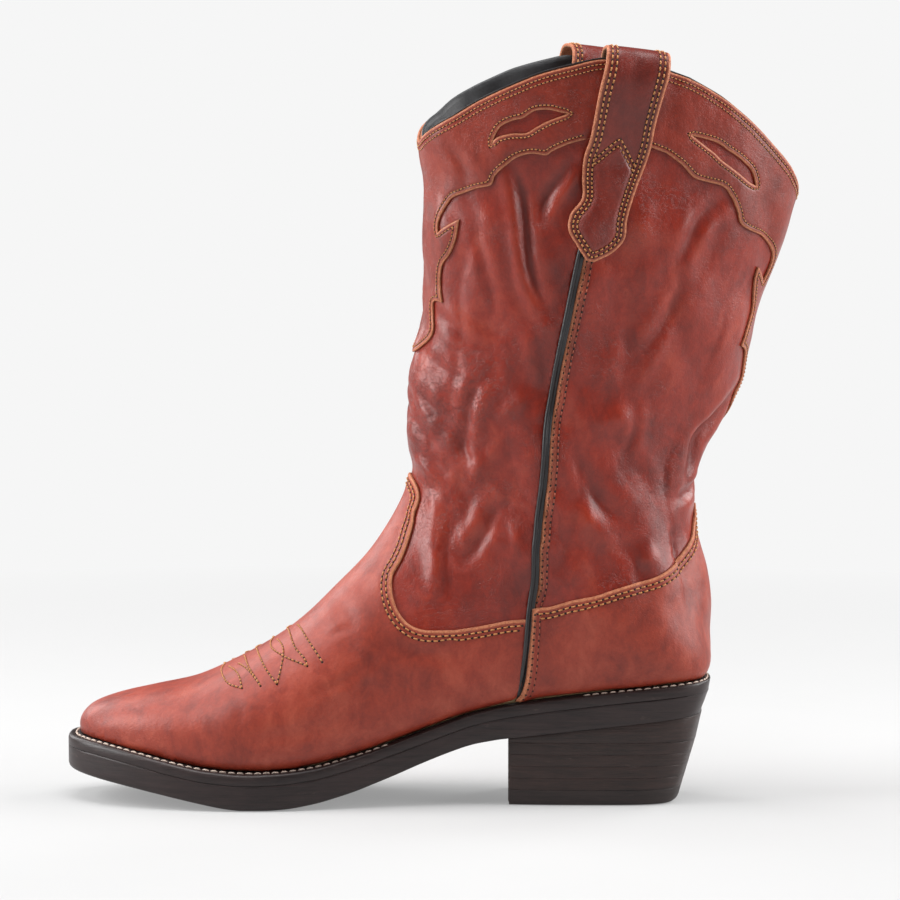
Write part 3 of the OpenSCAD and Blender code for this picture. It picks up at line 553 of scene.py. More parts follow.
def within(C, A, block=4000):
    """Which of the points C lie inside the closed outline A."""
    B = np.roll(A, -1, 0)
    out = np.zeros(len(C), bool)
    for k in range(0, len(C), block):
        x, y = C[k:k + block, :1], C[k:k + block, 1:2]
        hit = (A[None, :, 1] > y) != (B[None, :, 1] > y)
        with np.errstate(divide="ignore", invalid="ignore"):
            cross = A[None, :, 0] + (y - A[None, :, 1]) / (B[:, 1] - A[:, 1]) \
                * (B[:, 0] - A[:, 0])
        out[k:k + block] = (hit & (cross > x)).sum(1) % 2 == 1
    return out


# distances from a raw edge, in millimetres, at which a panel gets a row of points
ROWS = (.3, .7, 1.2, 1.7, 2.1, 2.5, 3.1, 3.8, 4.2, 4.7, 5.6)


def worn(V):
    """Where the skin is finely crazed: mostly the front of the ankle."""
    return np.exp(-((V[:, 0] + 6) / 34) ** 2 - ((V[:, 2] - 175) / 42) ** 2)


class Panel:
    """A flat cut of leather laid on the boot, with its edges and stitch lines."""

    def __init__(self, chart, loops, gap=2.0, rows=ROWS):
        # loops: lists of (kind, control points); the first loop is the outline
        self.chart = chart
        self.tp, self.loops, self.raw = [], [], []
        n = 0
        for li, loop in enumerate(loops):
            pts, kinds = [], []
            for kind, C in loop:
                D = along(curve(C, per=10) if len(C) > 2 else np.array(C, float),
                          .85 if kind == "raw" else 1.9)
                pts.append(D[:-1])
                kinds += [kind] * (len(D) - 1)
            TP = np.concatenate(pts)
            XY = chart.xy(TP[:, 0], TP[:, 1])
            nx = np.roll(XY, -1, 0)
            area = (XY[:, 0] * nx[:, 1] - nx[:, 0] * XY[:, 1]).sum()
            sign = self._sign(TP, XY) * (1 if area > 0 else -1) * (1 if li == 0 else -1)
            self.loops.append((n, len(TP), np.array(kinds), sign))
            self.tp.append(TP)
            n += len(TP)
        B = np.concatenate(self.tp)
        self.nb = n
        self.kinds = np.concatenate([l[2] for l in self.loops])
        P3 = base(B[:, 0], B[:, 1])
        self.all_tree = tree(P3)
        raw = P3[self.kinds == "raw"]
        self.raw_tree = tree(raw) if len(raw) else None
        extra = []
        for s, m, kinds, sign in self.loops:
            TP = B[s:s + m]
            for delta in rows:
                Q = inward(TP, delta, sign, True)[kinds == "raw"]
                Q = Q[(Q[:, 0] > .05)]
                d = near(self.all_tree, base(Q[:, 0], Q[:, 1]))
                extra.append(Q[d > delta * .86])
        XY = chart.xy(B[:, 0], B[:, 1])
        H = chart.hexes(XY.min(0), XY.max(0), gap)
        P = base(H[:, 0], H[:, 1])
        far_from_raw = near(self.raw_tree, P) > rows[-1] + .8 if self.raw_tree else True
        H = H[(near(self.all_tree, P) > .9) & far_from_raw & (H[:, 0] > .05)]
        E = np.concatenate(extra + [H])
        allp = np.concatenate([B, E])
        XY = chart.xy(allp[:, 0], allp[:, 1])
        edges = []
        for s, m, _, _ in self.loops:
            edges += [(s + i, s + (i + 1) % m) for i in range(m)]
        res = delaunay_2d_cdt([Vector(p) for p in XY.tolist()], edges, [], 0, 1e-5)
        V2, F2, orig = np.array([tuple(v) for v in res[0]]), np.array(res[2]), res[3]
        # new points can only appear where an outline crosses itself
        src = np.array([o[0] if len(o) else -1 for o in orig])
        keep = (src >= 0)[F2].all(1)
        F2 = F2[keep]
        cen = V2[F2].mean(1)
        F2 = F2[self._inside(cen, XY)]
        self.F = src[F2]
        v = XY[self.F]
        ar = ((v[:, 1, 0] - v[:, 0, 0]) * (v[:, 2, 1] - v[:, 0, 1])
              - (v[:, 1, 1] - v[:, 0, 1]) * (v[:, 2, 0] - v[:, 0, 0]))
        self.F = np.where((ar > 0)[:, None], self.F, self.F[:, ::-1])
        used = np.zeros(len(allp), bool)
        used[self.F.ravel()] = True
        used[:n] = True
        new = np.cumsum(used) - 1
        self.F = new[self.F]
        self.TP = allp[used]
        P = base(self.TP[:, 0], self.TP[:, 1])
        self.edge = near(self.raw_tree, P) if self.raw_tree else np.full(len(P), 50.0)
        # the map's handedness against the surface's outward side
        i = self.F[len(self.F) // 2]
        nn = np.cross(P[i[1]] - P[i[0]], P[i[2]] - P[i[0]])
        if (nn * side(self.TP[i[0], 0], self.TP[i[0], 1])).sum() < 0:
            self.F = self.F[:, ::-1]

    def _sign(self, TP, XY):
        m = len(TP) // 3
        seg = slice(m, m + 3)
        off = inward(TP[seg], .5, 1)
        a = XY[m + 2] - XY[m]
        b = self.chart.xy(off[1:2, 0], off[1:2, 1])[0] - XY[m + 1]
        return 1 if a[0] * b[1] - a[1] * b[0] > 0 else -1

    def _inside(self, C, XY):
        inside = np.zeros(len(C), bool)
        for s, m, _, _ in self.loops:
            inside ^= within(C, XY[s:s + m])
        return inside

    def build(self, name, mats, d_out, d_in, lift=None, grooves=(), bevel=None):
        t, p, e = self.TP[:, 0], self.TP[:, 1], self.edge
        up = lift(t, p) if lift is not None else 0 * t
        cut = bevel(t, p) if bevel is not None else 0 * t
        top = d_out + up - .32 * np.exp(-(e / .28) ** 2) - .75 * cut * smoothstep(2.0, 0, e)
        for g in grooves:
            top = top - .2 * np.exp(-((e - g) / .5) ** 2)
        # covers ride up whole; a shaft panel's inner face stays on the lining
        low = d_in + up * (d_in > -.5)
        V = [surf(t, p, top), surf(t, p, low)]
        n = len(t)
        faces = [self.F, self.F[:, ::-1] + n]
        slots = [np.zeros(len(self.F)), np.ones(len(self.F))]
        at = 2 * n
        rim_e, rim_h = [], []
        for s, m, kinds, sign in self.loops:
            idx = np.arange(s, s + m)
            tb, pb = t[idx], p[idx]
            rings = [idx]
            out = inward(np.stack([tb, pb], -1), -.16, sign, True)
            high = d_out + up[idx] - .75 * cut[idx]
            for h in (.78, .45, .12):
                V.append(surf(out[:, 0], out[:, 1], low[idx] + (high - low[idx]) * h))
                rings.append(np.arange(at, at + m))
                at += m
                rim_e.append(np.zeros(m))
                rim_h.append(bilinear(HOLLOW, tb, pb))
            rings.append(idx + n)
            for a, b in zip(rings[:-1], rings[1:]):
                q = np.stack([np.roll(a, -1), a, b, np.roll(b, -1)], -1)
                # orientation follows the outline's own direction
                q = q if sign > 0 else q[:, ::-1]
                faces += [q[:, [0, 1, 2]], q[:, [0, 2, 3]]]
                slots += [np.full(len(q), 2), np.full(len(q), 2)]
        V = np.concatenate(V)
        hol = bilinear(HOLLOW, t, p)
        band = e * (1 - .7 * cut)
        edge = np.concatenate([band, band] + rim_e)
        hollow = np.concatenate([hol, hol] + rim_h)
        return add_mesh(name, V, np.concatenate(faces), mats, np.concatenate(slots),
                        attrs={"edge": edge, "hollow": hollow, "worn": worn(V)})

    def lines(self, delta, only=None):
        """Runs of (t, phi) at delta millimetres inside the raw edges."""
        runs = []
        B = np.concatenate(self.tp)
        for s, m, kinds, sign in self.loops:
            TP = B[s:s + m]
            Q = inward(TP, delta, sign, True)
            ok = (kinds == "raw") & (near(self.all_tree, base(Q[:, 0], Q[:, 1]))
                                     > delta * .74)
            if only is not None:
                ok &= only(TP[:, 0], TP[:, 1])
            if ok.all():
                runs.append(np.concatenate([Q, Q[:1]]))
                continue
            start = int(np.argmin(ok))
            order = (np.arange(m) + start) % m
            run = []
            for i in order:
                if ok[i]:
                    run.append(Q[i])
                elif run:
                    if len(run) > 4:
                        runs.append(np.array(run))
                    run = []
            if len(run) > 4:
                runs.append(np.array(run))
        return runs


# ---- stitches: short rounded lengths of thread, each end sunk in its hole ----
def capsules(P0, P1, N, r, rise=.85):
    """Closed six-sided threads from P0 to P1, bowed out along N."""
    if not len(P0):
        return np.zeros((0, 3)), np.zeros((0, 4), int)
    T = unit(P1 - P0)
    U = unit(N - (N * T).sum(1, keepdims=True) * T)
    W = np.cross(T, U)
    L = np.linalg.norm(P1 - P0, axis=1, keepdims=True)
    rings = []
    for s, k, h in ((-.5, .3, -.7), (-.46, .8, -.3), (-.22, 1, .35), (.22, 1, .35),
                    (.46, .8, -.3), (.5, .3, -.7)):
        C = (P0 + P1) / 2 + T * L * s + U * r * (h + rise - .2)
        for a in np.arange(6) * math.pi / 3:
            rings.append(C + (U * math.sin(a) + W * math.cos(a)) * r * k)
    V = np.stack(rings, 1).reshape(-1, 3)
    f = []
    for j in range(5):
        for i in range(6):
            f.append((j * 6 + i, j * 6 + (i + 1) % 6, j * 6 + 6 + (i + 1) % 6, j * 6 + 6 + i))
    f += [(2, 1, 0, 5), (5, 4, 3, 2), (30, 31, 32, 33), (33, 34, 35, 30)]
    f = np.array(f)
    return V, (f[None] + (np.arange(len(P0)) * 36)[:, None, None]).reshape(-1, 4)


def holes(P, N, r):
    """Painted shade of the needle holes: small dark flat six-sided lenses where the needle went
    in.
    """
    if not len(P):
        return np.zeros((0, 3)), np.zeros((0, 3), int)
    A = unit(np.cross(N, np.array([.3, .5, .81])))
    B = np.cross(N, A)
    pts = [P + (A * math.cos(a) + B * math.sin(a)) * r for a in np.arange(6) * math.pi / 3]
    pts += [P + N * .04, P - N * .25]
    V = np.stack(pts, 1).reshape(-1, 3)
    f = []
    for i in range(6):
        f += [(i, (i + 1) % 6, 6), ((i + 1) % 6, i, 7)]
    f = np.array(f)
    return V, (f[None] + (np.arange(len(P)) * 8)[:, None, None]).reshape(-1, 3)


class Thread:
    """All the stitches of one colour on one piece."""

    def __init__(self):
        self.P0, self.P1, self.N, self.hole, self.hn = [], [], [], [], []

    def run(self, TP, d, pitch=2.6, part=.64, up=None):
        S = along(TP, pitch)
        if len(S) < 2:
            return
        h = up(S[:, 0], S[:, 1]) if up is not None else 0
        P = surf(S[:, 0], S[:, 1], d + h)
        n = side(S[:, 0], S[:, 1])
        self.add(P, n, part)

    def add(self, P, n, part=.64):
        a, b = P[:-1], P[1:]
        k = (1 - part) / 2
        self.P0.append(a + (b - a) * k)
        self.P1.append(b - (b - a) * k)
        self.N.append(unit(n[:-1] + n[1:]))
        self.hole.append(P)
        self.hn.append(n)

    def build(self, name, mats, r=.36, hole=.56):
        V, F = capsules(np.concatenate(self.P0), np.concatenate(self.P1),
                        np.concatenate(self.N), r)
        HV, HF = holes(np.concatenate(self.hole) + .1 * np.concatenate(self.hn),
                       np.concatenate(self.hn), hole)
        faces = F.tolist() + (HF + len(V)).tolist()
        return add_mesh(name, np.concatenate([V, HV]), faces, mats,
                        [0] * len(F) + [1] * len(HF))


# ---- materials ----
def srgb(r, g, b):
    return tuple(((c / 255 + .055) / 1.055) ** 2.4 if c > 10 else c / 255 / 12.92
                 for c in (r, g, b)) + (1.0,)


class Nodes:
    """Short names for the nodes used here."""

    def __init__(self, name):
        self.m = bpy.data.materials.new(name)
        self.m.use_nodes = True
        self.t = self.m.node_tree
        self.bsdf = self.t.nodes["Principled BSDF"]
        self.co = self.t.nodes.new("ShaderNodeTexCoord").outputs["Object"]

    def new(self, kind, **inputs):
        n = self.t.nodes.new("ShaderNode" + kind)
        for k, v in inputs.items():
            self.put(n.inputs[k.replace("_", " ")], v)
        return n

    def put(self, socket, v):
        if isinstance(v, bpy.types.NodeSocket):
            self.t.links.new(v, socket)
        else:
            socket.default_value = v

    def scaled(self, x, y, z):
        n = self.new("Mapping", Vector=self.co)
        n.inputs["Scale"].default_value = (x, y, z)
        return n.outputs[0]

    def noise(self, mm, detail=3.0, rough=.55, vec=None, warp=0.0):
        n = self.new("TexNoise", Vector=vec or self.co, Scale=1000.0 / mm, Detail=detail,
                     Roughness=rough, Distortion=warp)
        return n.outputs[0]

    def cells(self, mm, vec=None, feature="F1"):
        n = self.new("TexVoronoi", Vector=vec or self.co, Scale=1000.0 / mm)
        n.feature = feature
        return n.outputs["Distance"]

    def ramp(self, fac, *stops):
        n = self.new("ValToRGB", Fac=fac)
        e = n.color_ramp.elements
        while len(e) < len(stops):
            e.new(.5)
        for s, (pos, col) in zip(e, stops):
            s.position = pos
            s.color = col if isinstance(col, tuple) else (col, col, col, 1)
        return n.outputs[0]

    def math(self, op, a, b=0.0, clamp=False):
        n = self.t.nodes.new("ShaderNodeMath")
        n.operation = op
        n.use_clamp = clamp
        self.put(n.inputs[0], a)
        self.put(n.inputs[1], b)
        return n.outputs[0]

    def total(self, *parts):
        """Sum of (value, weight) pairs."""
        parts = [self.math("MULTIPLY", v, w) for v, w in parts]
        out = parts[0]
        for v in parts[1:]:
            out = self.math("ADD", out, v)
        return out

    def mix(self, fac, a, b, blend="MIX"):
        n = self.t.nodes.new("ShaderNodeMix")
        n.data_type = "RGBA"
        n.blend_type = blend
        self.put(n.inputs["Factor"], fac)
        self.put(n.inputs["A"], a)
        self.put(n.inputs["B"], b)
        return n.outputs["Result"]

    def attr(self, name):
        n = self.t.nodes.new("ShaderNodeAttribute")
        n.attribute_name = name
        return n.outputs["Fac"]

    def bump(self, height, mm, normal=None):
        n = self.new("Bump", Height=height, Strength=1.0, Distance=mm * .001)
        if normal is not None:
            self.put(n.inputs["Normal"], normal)
        return n.outputs[0]

    def finish(self, color, rough, normal=None, **fixed):
        self.put(self.bsdf.inputs["Base Color"], color)
        self.put(self.bsdf.inputs["Roughness"], rough)
        if normal is not None:
            self.put(self.bsdf.inputs["Normal"], normal)
        for k, v in fixed.items():
            self.bsdf.inputs[k.replace("_", " ")].default_value = v
        return self.m


def leather(name, dark, mid, light, wrinkle=1.0, tan=.62, matt=0.0):
    n = Nodes(name)
    # dye that took unevenly, in patches of several sizes
    a = n.noise(38, 5, .62, n.scaled(1, 1, .6), .8)
    b = n.noise(9, 6, .68, n.scaled(1, 1, .7), .5)
    col = n.ramp(n.total((a, .5), (b, .5)), (.34, dark), (.51, mid), (.70, light))
    fine = n.noise(1.3, 5, .75)
    col = n.mix(.5, col, n.ramp(fine, (.3, .38), (.7, .62)), "OVERLAY")
    # painted shade in the valleys and a painted highlight on the ridges, by how far a point lies
    # below its neighbourhood
    h = n.attr("hollow")
    col = n.mix(n.math("MULTIPLY", h, .75, True), col, dark)
    col = n.mix(n.math("MULTIPLY", h, -.45, True), col, light)
    # grain: pores, creased skin and fine wrinkles
    vec = n.scaled(1, 1, 1.25)
    pores = n.cells(.8, vec)
    skin = n.cells(2.1, vec, "DISTANCE_TO_EDGE")
    skin = n.ramp(skin, (0, 0.0), (.10, 1.0))
    lines = n.noise(6.5, 6, .62, n.scaled(1, 1, 1.3), 1.4)
    lines = n.ramp(n.math("ABSOLUTE", n.math("SUBTRACT", lines, .5)), (0, 0.0), (.03, 1.0))
    where = n.ramp(n.noise(26, 2, .5), (.44, 0.0), (.62, .5))
    where = n.math("ADD", where, n.math("MULTIPLY", n.attr("worn"), .9), True)
    lines = n.math("ADD", n.math("MULTIPLY", n.math("SUBTRACT", lines, 1.0), where), 1.0)
    # the fine wrinkle lines are darkened: painted shade in the creases
    col = n.mix(n.math("MULTIPLY", n.math("SUBTRACT", 1.0, lines), .35), col, dark)
    nb = n.bump(n.noise(15, 4, .55, n.scaled(1, 1, .7)), .8)
    nb = n.bump(n.noise(4.2, 4, .6), .16, nb)
    nb = n.bump(lines, .12 * wrinkle, nb)
    nb = n.bump(skin, .025, nb)
    nb = n.bump(pores, .045, nb)
    # cut edges show undyed fibre, for tan millimetres; ramps end at 1, so distances are quartered
    tan = tan / 4
    e = n.math("ADD", n.attr("edge"), n.math("MULTIPLY", n.math("SUBTRACT", n.noise(
        1.8, 4, .7), .5), .9))
    e = n.math("MULTIPLY", e, .25)
    fibre = n.ramp(n.noise(1.1, 4, .75), (.3, srgb(140, 74, 46)), (.7, srgb(200, 128, 92)))
    col = n.mix(n.math("MULTIPLY", n.ramp(e, (tan + .10, 1.0), (tan + .20, 0.0)), .22), col,
                fibre)
    col = n.mix(n.ramp(e, (tan - .035, 1.0), (tan + .03, 0.0)), col, fibre)
    rough = n.math("ADD", n.math("MULTIPLY", n.noise(6, 5, .65), .26), .27 + matt)
    rough = n.math("ADD", rough, n.math("MULTIPLY", h, .12), True)
    rough = n.math("ADD", rough, n.ramp(e, (tan, .4), (tan + .06, 0.0)), True)
    return n.finish(col, rough, nb, Specular_IOR_Level=.36, Coat_Weight=.28,
                    Coat_Roughness=.27 + 1.5 * matt)


def plain(name, dark, light, mm, rough, bump_mm=.05, vec=(1, 1, 1), **fixed):
    n = Nodes(name)
    v = n.scaled(*vec)
    a = n.noise(mm, 5, .6, v)
    b = n.noise(mm * .22, 4, .65, v)
    col = n.ramp(n.total((a, .6), (b, .4)), (.34, dark), (.64, light))
    r = n.math("ADD", n.math("MULTIPLY", b, .2), rough - .1)
    return n.finish(col, r, n.bump(b, bump_mm), **fixed)


DARK, MID, LIGHT = srgb(94, 22, 12), srgb(131, 33, 15), srgb(156, 57, 36)
M_UPPER = leather("leather_upper", DARK, MID, LIGHT)
M_VAMP = leather("leather_vamp", srgb(106, 29, 16), srgb(142, 48, 28), srgb(167, 73, 51),
                 wrinkle=.6, tan=.95, matt=.1)
M_OVER = leather("leather_overlay", srgb(98, 28, 16), srgb(129, 41, 25), srgb(150, 58, 40),
                 tan=.5)
M_STRAP = leather("leather_strap", srgb(82, 22, 14), srgb(108, 31, 20), srgb(136, 48, 34),
                  tan=.9)
M_EDGE = plain("raw_leather_edge", srgb(128, 68, 44), srgb(192, 122, 88), 1.6, .85, .12)
M_FLESH = plain("leather_back", srgb(132, 86, 60), srgb(176, 128, 96), 3.0, .92, .10)
M_LINING = plain("black_lining", srgb(20, 20, 22), srgb(44, 44, 47), 4.0, .50, .06)
M_PIPING = plain("black_piping", srgb(14, 13, 14), srgb(34, 32, 34), 3.0, .38, .04)
M_THREAD = plain("golden_thread", srgb(134, 80, 38), srgb(204, 140, 80), 1.1, .5, .05,
                 (1, 1, 3))
M_RED_THREAD = plain("red_thread", srgb(112, 46, 30), srgb(160, 82, 56), 1.1, .62, .05)
# the needle holes' dark colour is painted shade
M_HOLE_SHADE = plain("needle_hole_shade", srgb(26, 9, 6), srgb(46, 16, 10), 1.0, .8, .02)
M_WELT_THREAD = plain("welt_thread", srgb(156, 136, 122), srgb(214, 196, 182), 1.4, .7, .06)
M_SOCK = plain("sock_leather", srgb(150, 104, 70), srgb(186, 140, 100), 9.0, .7, .05)
M_BOARD = plain("fibre_board", srgb(150, 126, 92), srgb(190, 168, 128), 2.2, .9, .08)
M_CORK = plain("cork", srgb(110, 72, 44), srgb(186, 136, 88), 2.6, .95, .2)
M_STEEL = plain("steel", srgb(120, 122, 126), srgb(176, 178, 182), 3.0, .36, .02,
                (1, 1, 1), Metallic=1.0)


def sole_material(name, dark, light, streak, gloss):
    """Waxed leather edge: fine level streaks and a dull polish."""
    n = Nodes(name)
    v = n.scaled(.22, .22, 3.2)
    a = n.noise(5.0, 6, .65, v)
    b = n.noise(1.5, 4, .7, v)
    c = n.noise(24, 3, .5)
    col = n.ramp(n.total((a, .45), (b, .35), (c, .2)), (.36, dark), (.62, light))
    scuff = n.ramp(n.noise(9, 6, .75, n.scaled(.5, .5, 1.6)), (.62, 0.0), (.74, 1.0))
    col = n.mix(n.math("MULTIPLY", scuff, .35), col, srgb(104, 84, 78))
    nb = n.bump(a, streak)
    nb = n.bump(b, streak * .5, nb)
    rough = n.math("ADD", n.math("MULTIPLY", b, .24), gloss)
    return n.finish(col, rough, nb, Specular_IOR_Level=.4)


M_SOLE = sole_material("sole_edge", srgb(24, 17, 17), srgb(50, 37, 36), .10, .28)
M_HEEL = sole_material("heel_stack", srgb(26, 18, 16), srgb(56, 39, 35), .22, .30)
M_CAP = sole_material("heel_cap_rubber", srgb(26, 20, 19), srgb(50, 39, 37), .05, .42)

# ---- upper leather ----
FRONT, BACK = Chart(60, 0), Chart(70, 180)
TUCK, RAW_AT = -.5, 1.55    # degrees from the seam: front panels tuck under, back ones lie behind


def flipped(P):
    """The same points on the far side of the front, in the order they had."""
    return [(t, -p) for t, p in P]


def mirrored(P):
    return flipped(P[::-1])


def over_front(P):
    """From a line's near end over the front ridge to its far end."""
    return P[::-1][:-1] + flipped(P)


def beyond(P):
    """The same points on the far side of the back, in the order they had."""
    return [(t, 360 - p) for t, p in P]


def around(P):
    return beyond(P[::-1])


def over_back(P):
    """From a line's far end over the middle of the back to its near end."""
    return beyond(P)[:-1] + P[::-1]


def seam_line(t0, t1, off, n=40):
    return [(t, float(seam(t)) + off) for t in np.linspace(t0, t1, n)]


def collar_line(p0, p1):
    pts = [(t, p) for p, t in COLLAR if p0 + 2 < p < p1 - 2]
    a, b = float(tab(COLLAR, p0)), float(tab(COLLAR, p1))
    return [(a, p0)] + pts + [(b, p1)]


def collar_t(off, guess=24.8):
    """Section where the collar meets a line off degrees from the seam."""
    for _ in range(8):
        guess = float(tab(COLLAR, float(seam(guess)) + off))
    return guess


VAMP_TOP = [(11.75, 0), (11.75, 12), (11.74, 22), (11.58, 28), (10.94, 32), (10.42, 39),
            (9.94, 44), (9.60, 47), (9.48, 53), (9.46, 63), (9.58, 73), (9.83, 81),
            (10.31, 88), (10.96, 95), (11.56, 99)]
CTR_TOP = [(12.28, 98.2), (12.42, 99), (13.04, 99.5), (14.10, 104), (14.88, 115), (15.43, 127),
           (15.86, 138), (16.31, 151), (16.68, 164), (16.97, 174)]
OVER_F = [[(23.45, 77), (23.32, 72), (23.14, 67), (23.04, 65), (23.04, 61), (22.93, 56),
           (22.66, 51), (22.38, 47), (22.13, 45), (22.00, 39), (21.82, 32), (21.66, 26),
           (21.30, 21), (20.93, 18.4), (20.70, 19)],
          [(20.70, 19), (20.95, 25), (21.16, 31)],
          [(21.16, 31), (20.64, 30), (20.23, 27), (19.93, 23), (19.56, 22), (19.20, 23.5),
           (18.94, 25.5)],
          [(18.94, 25.5), (18.92, 21), (18.80, 17.5), (18.48, 18), (18.02, 21), (17.65, 19),
           (17.30, 13), (17.0, 6), (16.9, 0)]]
OVER_B = [[(23.39, 101), (23.21, 106), (22.97, 111), (22.93, 115), (22.87, 121), (22.62, 125),
           (22.32, 128), (22.02, 131), (21.93, 135), (21.84, 144), (21.63, 155), (21.38, 163),
           (21.02, 165)],
          [(21.02, 165), (21.12, 158), (21.26, 150)],
          [(21.26, 150), (21.05, 151), (20.77, 157), (20.54, 161), (20.32, 158),
           (20.06, 156)],
          [(20.06, 156), (20.04, 163), (19.94, 170), (19.66, 173), (19.2, 176), (18.9, 180)]]
CUT_F = [[(23.86, 72), (23.87, 70), (23.89, 66), (23.84, 62), (23.68, 58), (23.62, 55),
          (23.50, 51), (23.32, 48.5), (23.12, 47)],
         [(23.12, 47), (23.25, 49), (23.36, 54), (23.41, 59), (23.53, 62), (23.68, 66),
          (23.80, 70), (23.86, 72)]]
CUT_B = [[(23.77, 108), (23.75, 112), (23.70, 117), (23.59, 121), (23.52, 124), (23.43, 127),
          (23.29, 131), (23.10, 133.5), (22.96, 134.5)],
         [(22.96, 134.5), (23.02, 131), (23.14, 127), (23.26, 123), (23.38, 119), (23.50, 116),
          (23.63, 112), (23.77, 108)]]


def from_seam(t, p):
    """Millimetres from the nearer side seam, where a degree is about .68 mm."""
    s = seam(t)
    return np.minimum(np.abs(p - s), np.abs(360 - p - s)) * .68


def lift_back(t, p):
    """The back panels ride up over the piping's flange and the front panel's edge."""
    return smoothstep(11, 2.5, from_seam(t, p))


def seam_bevel(t, p):
    """Next to the piping the back panels' fuzzy raw edge is skived and shows its fibre."""
    return smoothstep(4.5, 2.8, from_seam(t, p)) * smoothstep(21.6, 21.2, t)


def low_edge(extra):
    return [(max(t, .03), p + extra) for t, p in LOW[:-1]]


def back_low():
    out = []
    for u, t in LOWB:
        s = float(seam(t)) if u > .01 else float(seam(t)) + RAW_AT
        out.append((t, s + u * (360 - 2 * s)))
    return out


def shifted(P, dt):
    return [(t + dt, p) for t, p in P]


v0 = 11.88
vt_end = (v0, float(seam(v0)) + TUCK)
vamp_side = low_edge(1.2) + seam_line(10.85, v0, TUCK, 14)
top = VAMP_TOP + [vt_end]
vamp = Panel(FRONT, [[("tuck", vamp_side), ("raw", over_front(top)),
                      ("tuck", mirrored(vamp_side))]])
ct0 = (12.12, float(seam(12.12)) + RAW_AT)
c_side = seam_line(10.85, 12.12, RAW_AT, 14)
ctop = [ct0] + CTR_TOP + [(17.15, 180)]
counter = Panel(BACK, [[("raw", c_side), ("raw", ctop + around(ctop)[1:]),
                        ("raw", around(c_side)), ("tuck", over_back(back_low()))]])
fs_low = shifted(VAMP_TOP, -.75) + [(11.1, float(seam(11.1)) + TUCK)]
ce = collar_t(TUCK)
f_side = seam_line(11.1, ce, TUCK, 60)
f_col = collar_line(0, float(seam(ce)) + TUCK)
front_shaft = Panel(FRONT, [[("tuck", mirrored(fs_low)[:-1] + fs_low), ("tuck", f_side),
                             ("raw", over_front(f_col)), ("tuck", mirrored(f_side))]])
cb = collar_t(RAW_AT)
b_side = seam_line(11.95, cb, RAW_AT, 60)
b_col = collar_line(float(seam(cb)) + RAW_AT, 180)
b_low = [(11.95, float(seam(11.95)) + RAW_AT), (12.07, 104), (12.69, 104.5), (13.6, 108),
         (14.3, 118), (14.85, 130), (15.3, 141), (15.75, 153), (16.15, 165), (16.4, 175),
         (16.5, 180)]
back_shaft = Panel(BACK, [[("raw", b_side), ("raw", b_col[:-1] + around(b_col)),
                           ("raw", around(b_side)), ("tuck", over_back(b_low))]])
o_side = seam_line(23.5, ce, TUCK, 10)
o_end = [(23.45, 77), (23.5, 80), (23.5, 83)]
front_over = Panel(FRONT, [
    [("raw", s[::-1]) for s in OVER_F[::-1]]
    + [("tuck", o_end), ("tuck", o_side), ("raw", over_front(f_col)),
       ("tuck", mirrored(o_side)), ("tuck", mirrored(o_end))]
    + [("raw", flipped(s)) for s in OVER_F],
    [("raw", s) for s in CUT_F], [("raw", flipped(s)) for s in CUT_F]])
ob_side = seam_line(23.5, cb, RAW_AT, 10)
ob_start = (23.5, float(seam(23.5)) + RAW_AT)
b_near = [[ob_start, (23.46, 96), OVER_B[0][0]]] + OVER_B
back_over = Panel(BACK, [
    [("raw", s) for s in b_near] + [("raw", around(s)) for s in b_near[::-1]]
    + [("tuck", beyond(ob_side)), ("raw", over_back(b_col)), ("tuck", ob_side[::-1])],
    [("raw", s) for s in CUT_B], [("raw", beyond(s)) for s in CUT_B]])

LEATHER = [M_VAMP, M_FLESH, M_EDGE]
SHAFT = [M_UPPER, M_FLESH, M_EDGE]
OVERLAY = [M_OVER, M_FLESH, M_EDGE]
# outer and inner face of the leather that lies on the shaft, of the shaft and of the overlays,
# and how far the thread lies below the outer face, all in millimetres
COVER, WALL, OVER, SUNK = (1.5, .08), (0, -1.45), (1.35, .05), .14
# distances of the stitch rows from the raw edge, in millimetres
COVER_ROWS, SEAM_ROWS, OVER_ROWS, COLLAR_ROWS, STRAP_ROWS = \
    (2.4, 4.5), (1.8, 4.0), (1.8,), (2.0, 4.0), (2.3, 4.2)
for panel, name, node, slot, mats, layer, up, grooves, bevel in (
        (vamp, "vamp", "vamp", "upper", LEATHER, COVER, None, COVER_ROWS, None),
        (counter, "counter_cover", "heel_counter_cover", "upper", LEATHER, COVER,
         lift_back, COVER_ROWS, seam_bevel),
        (front_shaft, "front_shaft", "front_shaft_panel", "upper", SHAFT, WALL,
         None, (), None),
        (back_shaft, "back_shaft", "back_shaft_panel", "upper", SHAFT, WALL,
         lift_back, SEAM_ROWS, seam_bevel),
        (front_over, "front_overlay", "front_collar_overlay", "overlay", OVERLAY, OVER,
         None, OVER_ROWS, None),
        (back_over, "back_overlay", "back_collar_overlay", "overlay", OVERLAY, OVER,
         lift_back, OVER_ROWS, None)):
    place(panel.build("upper_" + name, mats, *layer, up, grooves, bevel), [node])


# ---- linings ----
def rise_steps(n):
    """Even steps with three short ones at the top edge."""
    return np.concatenate([np.linspace(0, .992, n - 3), [.995, .998, 1]])


def roll_out(t, p):
    """The bound top of the lining rolls out over the leather's edge."""
    top = tab(COLLAR, 180 - np.abs(180 - np.abs(p)))
    return .9 * smoothstep(top + .004, top + .035, t)


def lining(name, node, across, nv, low, top, phi):
    """A lining from rows of points: low(x) to top(x) in t, and phi(x, t), for x in across."""
    t, p = np.empty((2, nv, len(across)))
    for i, x in enumerate(across):
        lo = low(x)
        t[:, i] = lo + (top(x) - lo) * rise_steps(nv)
        p[:, i] = phi(x, t[:, i])
    d = roll_out(t, p)
    V, F = sheet(surf(t, p, d - LINING_D[0]), surf(t, p, d - LINING_D[1]))
    hol = np.tile(bilinear(HOLLOW, t, p).ravel(), 2)
    place(add_mesh(name, V, F, [M_LINING], attrs={"hollow": hol}), [node])


